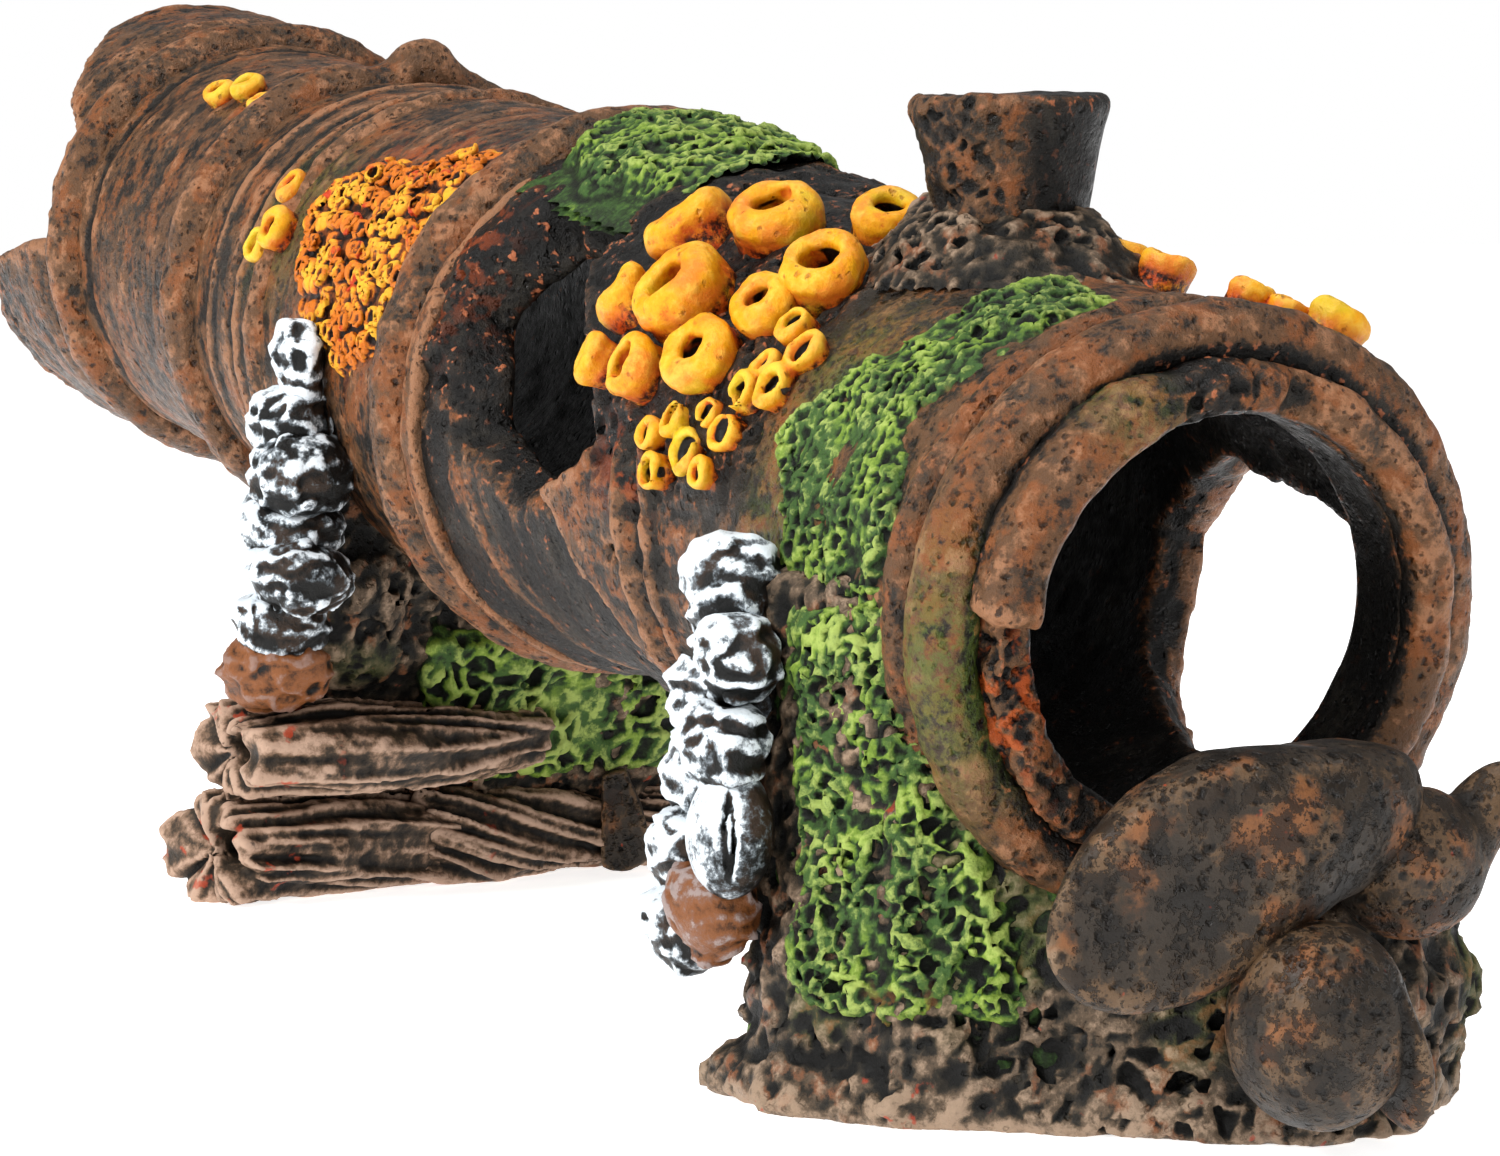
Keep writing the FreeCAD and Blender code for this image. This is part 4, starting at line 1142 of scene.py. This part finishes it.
def leg_shape(points, levels, clearance):
    """Smooth rock leg with the barrel's hollow taken out of it."""
    _, _, radius = barrel(points)
    body = tower(points, levels) + 1.5
    body = both(body, points[:, 2] - levels[-1][0] - 1.0, 3.0)
    return carve(body, radius - clearance, 0.8)


def rock_leg(node, material, levels, clearance, seed, step):
    """Crusty rock leg with a paler rim along the ground."""
    def solid(points):
        rim = bump(points[:, 2], 2.2, 3.4)
        offset = 1.2 * fbm(points, 12, 3, seed) + crust(points, 3.2, 1.8, seed + 5) + 0.8 * rim
        offset = offset + crust(points, 1.7, 0.8, seed + 30)
        shape = leg_shape(points, levels, clearance) - offset
        return both(shape, -points[:, 2], 0.5).astype(np.float32)

    def masks(points, normals):
        rim = ramp(5.5 - points[:, 2] + 1.6 * noise(points, 6, seed + 9), 0, 2.5)
        green = bump(points[:, 2], 18, 20) * ramp(noise(points, 9, seed + 8), 0.1, 0.5)
        return {"edge": rim * ramp(noise(points, 4, seed + 10), -0.7, 0.2), "green": 0.5 * green}

    low, high = node_box(node)
    return sculpt(f"{node}_cast", [node], material, solid, low - [2, 2, 0], high + 2, step, masks)


def leg_moss(node, material, levels, clearance, band, size, depth, bright, seed):
    """Spongy moss over one region of a rock leg."""
    def edge_of(points):
        across, height = facing(points)
        return tapered(across, height, band) + 1.8 * fbm(points, 5, 3, seed)

    def solid(points):
        inward = ramp(-edge_of(points), -0.6, 2.4)
        ridges = sponge(points, size, depth, seed + 1) + 0.4 * fbm(points, size * 2, 3, seed + 4)
        surface = leg_shape(points, levels, clearance) + 1.4 - inward * (1.5 + ridges)
        skin = -leg_shape(points, levels, clearance) - 2.6
        near = points[:, :2] @ VIEW_SIDE
        back = near_limit - near
        return np.maximum(np.maximum(surface, skin), np.maximum(back, -points[:, 2] - 0.0)).astype(np.float32)

    def masks(points, normals):
        rust = ramp(14 - points[:, 2], 0, 6) * 0.9
        lush = 0.35 + 0.75 * ramp(noise(points, 9, seed + 6), -0.1, 0.5)
        return {"lush": bright * lush * ramp(-edge_of(points), 0, 3),
                "rust": rust * ramp(noise(points, 4, seed + 7), -0.1, 0.4)}

    low, high = node_box(node)
    centre = (low + high) / 2
    near_limit = float(centre[:2] @ VIEW_SIDE) - 16
    return sculpt(f"{node}_cast", [node], material, solid, low - 6, high + 6, 0.56, masks)


def stone(node, material, radii, turn, seed, extra, step=0.46):
    """Smooth pitted stone with its own creases."""
    middle = centre_of(node)
    low, high = node_box(node)

    def solid(points):
        shape = ellipsoid(points, middle, radii, turn)
        first, _ = cells(points, 2.2, seed + 4)
        pits = 0.35 * (ramp(first, 0.06, 0.22) - 1) * ramp(noise(points, 5, seed + 3), -0.3, 0.2)
        offset = 0.5 * fbm(points, 9, 2, seed) + 0.16 * fbm(points, 2.4, 3, seed + 1) + pits
        return (extra(points - middle, shape) - offset).astype(np.float32)

    return sculpt(f"{node}_cast", [node], material, solid, low - 2.5, high + 2.5, step, None)


def boulder(material):
    """Large leaning boulder: a loaf with a vertical crease and a sloping facet beyond it."""
    def extra(local, shape):
        across = local[:, :2] @ ACROSS_VIEW
        toward = local[:, :2] @ VIEW_SIDE
        shoulder = ellipsoid(local, (-0.6, 12.4, 4.6), (6.6, 7.6, 7.6), axis_turn("X", -14))
        shape = join(shape, shoulder, 3.0)
        shape = both(shape, local[:, 2] - 10.4 + 0.06 * across, 2.2)
        shape = both(shape, toward - 5.2 + 0.42 * np.maximum(across - 12.4, 0) + 0.06 * across, 1.6)
        crease = np.abs(across - 12.4 - 0.03 * local[:, 2] - 0.4 * noise(local, 6, 207)) - 0.4
        return carve(shape, both(crease, 1.5 - toward, 0.3), 0.4)
    return stone("boulder", material, (7.6, 9.4, 17.0), axis_turn("X", -60), 201, extra)


def boulder_lobe(material):
    """Fin-shaped lobe behind the boulder's far end."""
    def extra(local, shape):
        fin = ellipsoid(local, (-0.5, 5.5, 1.6), (3.6, 3.2, 8.0), axis_turn("X", -40))
        return join(shape, fin, 1.2)
    return stone("boulder_lobe", material, (6.0, 7.0, 6.6), axis_turn("X", 24), 211, extra)


def cannonball(material):
    """Round stone with a leaf-like ridge down its far side."""
    def extra(local, shape):
        leaf = ellipsoid(local, (1.8, 5.6, -1.6), (5.6, 1.7, 7.8), axis_turn("X", 16))
        return join(shape, leaf, 0.7)
    return stone("cannonball", material, (8.2, 7.6, 8.9), None, 221, extra)


def stone_chip(material):
    """Thin chip of stone leaning on the driftwood root."""
    def extra(local, shape):
        flat = np.abs(local[:, :2] @ VIEW_SIDE) - 0.9
        across = local[:, :2] @ ACROSS_VIEW
        slanted = both(across - 2.4 + 0.35 * local[:, 2], -2.4 - across, 0.3)
        return both(both(shape, flat, 0.3), slanted, 0.3)
    return stone("stone_chip", material, (5.0, 5.0, 6.0), None, 231, extra, 0.3)


# ---------------------------------------------------------------- driftwood

def log(node, material, foot, turn, half_wide, low_edge, high_edge, stations, twist, seed):
    """Weathered, grooved log that runs away from the near side, torn at its near end."""
    axes = axis_turn("Z", turn)
    distances = [station[0] for station in stations]
    scales = [station[1] for station in stations]
    middle_height = (low_edge + high_edge) / 2
    half_tall = (high_edge - low_edge) / 2

    def locate(points):
        local = (points - np.array(foot, np.float32)) @ axes.astype(np.float32)
        return local[:, 0], local[:, 1], local[:, 2]

    def solid(points):
        side, along, height = locate(points)
        scale = np.interp(along, distances, scales)
        lifted = height - middle_height * scale
        wander = np.float32(1.0) * np.sin(along * 0.15 + seed)
        shape = np.hypot((side - wander) / half_wide, lifted / half_tall)
        wide = (np.abs((side - wander) / half_wide) ** 3 + np.abs(lifted / half_tall) ** 3) ** (1 / 3)
        shape = 0.5 * shape + 0.5 * wide
        spin = np.arctan2(lifted, side) + along * twist
        bark = np.stack([np.cos(spin) * half_wide, along * 0.07, np.sin(spin) * half_tall], axis=1)
        bark = bark.astype(np.float32)
        grooves = 0.6 * noise(bark, 4.2, seed) + 1.0 * creases(bark, 1.7, seed + 2) - 0.5
        fibres = 0.9 * fbm(bark, 1.1, 2, seed + 5) + 0.4 * fbm(points, 2.0, 3, seed + 7)
        surface = (shape - scale) * min(half_tall, half_wide) - grooves - fibres
        surface = surface - 0.6 * fbm(points, 9, 2, seed + 8)
        torn = 1.4 * fbm(points, 5.0, 2, seed + 9) + 1.6 * noise(bark, 2.0, seed + 10)
        near_end = -along - torn + 0.6
        knot = np.hypot(side - 2.2, (lifted - 0.6) * 1.1) - 2.3 + 0.8 * noise(points, 3, seed + 12)
        hollow = both(knot, along - 5.0, 0.8)
        body = both(both(surface, near_end, 0.8), along - distances[-1], 1.0)
        return both(carve(body, hollow, 0.8), -points[:, 2], 0.3).astype(np.float32)

    def masks(points, normals):
        _, along, _ = locate(points)
        return {"stain": ramp(13 - along, 0, 8)}

    low, high = node_box(node)
    return sculpt(f"{node}_cast", [node], material, solid,
                  low - [3, 3, 0], high + 3, 0.43, masks)


# ---------------------------------------------------------------- shells

def shell(node, material, seed, dome=False, rust=0.0):
    """One crumpled shell of a pile: a squat lump under a folded, ragged cap."""
    low, high = node_box(node)
    middle = (low + high) / 2
    half = (high - low) / 2
    chance = [float(value) for value in hash_unit(*(np.array([seed * k]) for k in (1, 3, 7)), 5)]
    swing = (seed * 0.618) % 1.0
    lean = axis_turn("X", 36 * swing - 18) @ axis_turn("Y", 50 * ((seed * 0.377) % 1.0) - 25)
    tall = max(half[2] * 1.2, 3.0) + 0.6 * chance[0]

    def solid(points):
        radii = np.array((half[0] * 1.06, half[1] * 1.0, tall * 1.12))
        shape = ellipsoid(points, middle, radii, lean)
        if dome:
            local = (points - middle).astype(np.float32)
            slit = np.hypot(local[:, :2] @ ACROSS_VIEW * 3.2, local[:, 2] * 0.5) - 1.3
            return (shape - 0.3 * fbm(points, 4, 3, seed) + 0.8 * bump(slit, 0.0, 0.9)).astype(np.float32)
        cap = middle + [-1.2 + 1.6 * swing, -1.4, 0.30 * tall]
        shape = join(shape, ellipsoid(points, cap, radii * 0.72, lean), 0.4)
        lobe = middle + [1.8 - 3.4 * swing, -0.6, -0.45 * tall]
        shape = join(shape, ellipsoid(points, lobe, radii * 0.66, lean), 0.4)
        moved = warped(points, 1.2, 3.0, seed + 2)
        layers = np.abs((moved[:, 2] * 0.42 + 0.05 * moved[:, 0] + swing) % 1.0 - 0.5)
        folds = 0.8 * layers + 0.55 * creases(points, 2.8, seed + 5) + 0.5 * fbm(points, 2.4, 3, seed + 3)
        return (shape - folds + 0.35).astype(np.float32)

    def masks(points, normals):
        # Painted highlight: the lit mask is high where a shell faces the key light, broken up by noise
        # strokes.
        lit = normals @ np.array(PAINTED_HIGHLIGHT_SIDE)
        strokes = noise(warped(points, 1.0, 2.5, seed + 11), 3.4, seed + 7)
        return {"lit": ramp(lit + 0.35 * strokes, 0.0, 0.95) * (1 - rust), "rust": np.full(len(points), rust)}

    return sculpt(f"{node}_cast", [node], material, solid, low - 2.8, high + 2.8, 0.44, masks)


# ---------------------------------------------------------------- barnacles

def growth_axis(angle, lean=0.0):
    """Direction in which a growth at this angle stands out of the barrel wall."""
    outward = on_barrel(0, angle, 1.0) - MOUTH
    tilt = math.radians(lean)
    axis = outward * math.cos(tilt) - BACKWARDS * math.sin(tilt)
    return axis / np.linalg.norm(axis)


def donut(points, seat, axis, foot, height, hole, seed):
    """Fat barnacle: a swollen wall that rolls over into a deep well."""
    local = points - seat.astype(np.float32)
    up = local @ axis.astype(np.float32)
    radial = np.linalg.norm(local - up[:, None] * axis.astype(np.float32), axis=1)
    radial = radial + 0.10 * foot * noise(points, foot * 1.2, seed)
    tube = (foot - hole) * 0.62
    crest = height - tube
    roll = np.hypot(radial - (foot - tube), (up - crest) * 0.92) - tube
    swell = radial - foot * (0.98 - 0.10 * np.clip((up - crest) / height, -1, 1) ** 2)
    base = both(swell, up - crest, 0.3)
    body = join(roll, base, 0.4)
    ragged = 0.16 * foot * noise(points, foot * 0.5, seed + 3)
    well = both(radial - hole - ragged, 0.6 - up, 0.5)
    return both(carve(body, well, 0.5), -up - 2.2, 0.2)


def barnacle_masks(parts):
    """Paint masks of barnacles: dark inside the wells, red at the feet."""
    def masks(points, normals):
        well = np.zeros(len(points), np.float32)
        foot_mask = np.zeros(len(points), np.float32)
        for seat, axis, foot, height, hole, _ in parts:
            local = points - seat.astype(np.float32)
            up = local @ axis.astype(np.float32)
            radial = np.linalg.norm(local - up[:, None] * axis.astype(np.float32), axis=1)
            inside = ramp(hole * 1.22 - radial, 0, hole * 0.25) * ramp(height * 0.86 - up, 0, height * 0.22)
            well = np.maximum(well, inside)
            close = ramp(foot * 1.5 - radial, 0, foot * 0.2)
            foot_mask = np.maximum(foot_mask, close * ramp(height * 0.78 - up, 0, height * 0.6))
        return {"well": well, "foot": foot_mask}
    return masks


def barnacle_group(name, node, material, parts, low, high, step):
    """One piece made of one or more barnacles."""
    def solid(points):
        total = None
        for seat, axis, foot, height, hole, seed in parts:
            shape = donut(points, seat, axis, foot, height, hole, seed)
            total = shape if total is None else join(total, shape, 0.25)
        wrinkle = 0.20 * fbm(points, 1.4, 3, parts[0][5]) + 0.42 * fbm(points, 3.4, 2, parts[0][5] + 4)
        return (total - wrinkle).astype(np.float32)

    return sculpt(name, [node], material, solid, low, high, step, barnacle_masks(parts))


LARGE_BARNACLES = [(62, 26, 4.6, 4.2, 2.0, 12), (51.5, 13, 3.4, 3.4, 1.6, 24), (72, 34, 4.6, 3.6, 2.0, -22),
                   (45.5, 33, 4.0, 3.8, 1.9, 20), (61.5, 48.5, 4.9, 4.8, 2.0, 4), (48, 45, 3.2, 3.2, 1.4, 12),
                   (71.5, 53, 3.3, 3.2, 1.5, -26), (51.5, 58.5, 3.9, 3.8, 1.6, 8), (62, 65, 3.4, 3.6, 1.5, 0),
                   (70, 66.5, 2.6, 3.0, 1.2, -20)]
CUPS = [(41, 46), (36.5, 50), (41.5, 55), (37.5, 58.5), (42, 62), (47, 68), (43, 70), (52, 71), (56, 75.5),
        (49, 76), (44.5, 79), (53.5, 82)]
REAR_PAIRS = [(167, 64.5, 2.6), (171, 54, 2.0), (171.5, 70, 2.2), (217, 34.5, 2.2), (212, 30, 2.2),
              (205, 33, 1.5)]
MOUTH_CUPS = [(30, -15, 2.2), (25, -19, 2.4), (12, -22, 2.0), (9, -27, 2.0), (5.5, -33, 3.0)]


def large_barnacles(material):
    """The heap of fat barnacles on the near shoulder of the front half."""
    for number, (station, angle, foot, height, hole, lean) in enumerate(LARGE_BARNACLES, 1):
        node = f"large_barnacle_{number:02d}"
        axis = growth_axis(angle, lean)
        seat = on_barrel(station, angle, float(front_wall(station)) - 0.4)
        part = (seat, axis, foot, height + 0.6, hole, 300 + number * 7)
        low, high = node_box(node)
        barnacle_group(f"{node}_cast", node, material, [part], low - 2.5, high + 2, 0.30)


def small_growths(material):
    """Rows and pairs of small cups."""
    cups = []
    for number, (station, angle) in enumerate(CUPS):
        axis = growth_axis(angle)
        size = 1.75 + 0.35 * math.sin(number * 2.3)
        seat = on_barrel(station, angle, float(front_wall(station)) - 0.3)
        cups.append((seat, axis, size, 2.0 + 0.4 * math.cos(number * 1.7), size * 0.62, 400 + number))
    low, high = node_box("small_barnacles")
    barnacle_group("small_barnacles_cast", "small_barnacles", material, cups, low - 1.5, high + 1.5, 0.30)
    pairs = []
    for number, (station, angle, foot) in enumerate(REAR_PAIRS):
        axis = growth_axis(angle)
        seat = on_barrel(station, angle, float(rear_wall(station)) - 0.3)
        pairs.append((seat, axis, foot, foot * 1.1, foot * 0.45, 430 + number))
    low, high = node_box("rear_barnacles")
    barnacle_group("rear_barnacles_cast", "rear_barnacles", material, pairs, low - 1.5, high + 1.5, 0.34)
    row = []
    for number, (station, angle, foot) in enumerate(MOUTH_CUPS):
        axis = growth_axis(angle)
        seat = on_barrel(station, angle, 26.6)
        row.append((seat, axis, foot, foot * 1.25, foot * 0.45, 450 + number))
    low, high = node_box("mouth_barnacles")
    barnacle_group("mouth_barnacles_cast", "mouth_barnacles", material, row, low - 1.5, high + 1.5, 0.32)


# ---------------------------------------------------------------- stage

def add_camera():
    """Camera at the viewing angle, low in front of the muzzle on the near side."""
    data = bpy.data.cameras.new("view")
    data.sensor_width = 36.0
    data.lens = 124.8
    data.clip_start = 0.01
    data.clip_end = 10.0
    camera = bpy.data.objects.new("view", data)
    bpy.context.collection.objects.link(camera)
    forward = Vector((-0.9048, 0.4173, -0.0845)).normalized()
    right = forward.cross(Vector((0, 0, 1))).normalized()
    upward = right.cross(forward)
    turn = Matrix((right, upward, -forward)).transposed()
    camera.matrix_world = Matrix.Translation(Vector((0.5158, -0.2229, 0.0856))) @ turn.to_4x4()
    bpy.context.scene.camera = camera


def add_floor():
    """Plain pale floor that fades into the background."""
    size = 3.0
    mesh = bpy.data.meshes.new("floor")
    corners = [(-size, -size, 0), (size, -size, 0), (size, size, 0), (-size, size, 0)]
    mesh.from_pydata(corners, [], [(0, 1, 2, 3)])
    floor = bpy.data.objects.new("floor", mesh)
    bpy.context.collection.objects.link(floor)
    material = bpy.data.materials.new("floor_paint")
    material.use_nodes = True
    shader = material.node_tree.nodes["Principled BSDF"]
    shader.inputs["Base Color"].default_value = (0.93, 0.93, 0.93, 1)
    shader.inputs["Roughness"].default_value = 0.9
    shader.inputs["Emission Color"].default_value = (1, 1, 1, 1)
    shader.inputs["Emission Strength"].default_value = 0.8
    mesh.materials.append(material)


def add_light(name, place, target, size, power):
    """Soft square light aimed at a point."""
    data = bpy.data.lights.new(name, "AREA")
    data.size = size
    data.energy = power
    light = bpy.data.objects.new(name, data)
    bpy.context.collection.objects.link(light)
    aim = Vector(target) - Vector(place)
    light.matrix_world = Matrix.Translation(Vector(place)) @ aim.to_track_quat("-Z", "Y").to_matrix().to_4x4()


def add_stage():
    """Floor, white surroundings and soft lights, brightest from the near side."""
    add_floor()
    world = bpy.data.worlds.new("studio")
    world.use_nodes = True
    nodes = world.node_tree.nodes
    links = world.node_tree.links
    background = nodes["Background"]
    background.inputs["Color"].default_value = (1, 1, 1, 1)
    # The backdrop looks white, but lights the object less, as a studio sweep does.
    seen = nodes.new("ShaderNodeLightPath")
    level = nodes.new("ShaderNodeMapRange")
    links.new(seen.outputs["Is Camera Ray"], level.inputs["Value"])
    level.inputs["To Min"].default_value = 0.30
    level.inputs["To Max"].default_value = 1.0
    links.new(level.outputs["Result"], background.inputs["Strength"])
    bpy.context.scene.world = world
    add_light("key", (0.15, -0.80, 0.70), (0.0, 0.0, 0.05), 0.35, 9.5)
    add_light("front", (0.90, -0.20, 0.45), (0.1, 0.0, 0.05), 0.4, 2.0)
    add_light("top", (-0.1, 0.1, 1.0), (0.0, 0.0, 0.05), 0.6, 3.6)


def build():
    """Make every piece of the ornament."""
    cannon = cannon_paint()
    front_barrel(cannon)
    break_collar(cannon)
    rear_barrel(cannon)
    ring("muzzle_ring", cannon, 0.2, 27.6, 3.3, 41, stretch=1.1, core=20.6,
         green_of=lambda s, a, r: bump(a, 100, 40))
    ring("neck_ring", cannon, 6.6, 26.9, 2.0, 44, rough=0.3)
    ring("break_hoop", cannon, 121.0, 30.9, 4.0, 47, wear=0.5)
    ring("second_hoop", cannon, HOOP_STATION, 28.6, 3.6, 50, lift=broken_peak)
    ring("breech_ring", cannon, 243.0, 28.6, 3.6, 53)
    ring("waist_band", cannon, 170.0, 27.6, 2.2, 56, wear=0.25)
    break_flange(cannon)
    muzzle_neck(cannon)
    muzzle_lip(cannon)
    trunnion_stub(cannon)
    rock = rock_paint()
    stub_collar(rock)
    rock_leg("front_rock_base", rock, FRONT_LEVELS, 24.8, 501, 0.70)
    rock_leg("rear_rock_leg", rock, REAR_LEVELS, 24.0, 521, 0.70)
    moss = moss_paint()
    moss_band(moss)
    top_moss(moss)
    leg_moss("front_leg_moss", moss, FRONT_LEVELS, 24.8, FRONT_MOSS, 1.7, 1.4, 0.75, 541)
    leg_moss("rear_leg_moss", moss, REAR_LEVELS, 24.0, REAR_MOSS, 3.2, 2.0, 1.9, 561)
    coral_crust(coral_paint())
    smooth_stone = boulder_paint()
    boulder(smooth_stone)
    boulder_lobe(smooth_stone)
    cannonball(smooth_stone)
    stone_chip(smooth_stone)
    wood = driftwood_paint()
    log("driftwood_lower", wood, (-33.2, -36, 0), 18, 8.4, 0.0, 11.8,
        [(0, 1), (14, 0.98), (32, 0.86), (52, 0.7)], 0.012, 601)
    log("driftwood_upper", wood, (-31, -35.5, 17.0), 6, 8.5, -4.6, 5.4,
        [(0, 0.9), (14, 1), (28, 0.86), (40, 0.6)], 0.006, 621)
    log("driftwood_root", wood, (-39.5, -11, 5.2), 1, 5.5, -5.2, 6.0,
        [(0, 1), (20, 0.9), (49.5, 0.75)], 0.06, 641)
    paint_shell = shell_paint()
    for number in range(1, 10):
        rust = 0.8 if number == 8 else 0.0
        shell(f"front_shell_{number}", paint_shell, 700 + number, dome=number == 6, rust=rust)
    for number in range(1, 8):
        shell(f"rear_shell_{number}", paint_shell, 720 + number, rust=0.9 if number == 7 else 0.0)
    yellow = barnacle_paint()
    large_barnacles(yellow)
    small_growths(yellow)


bpy.context.scene.view_settings.view_transform = "Standard"
add_camera()
add_stage()
build()
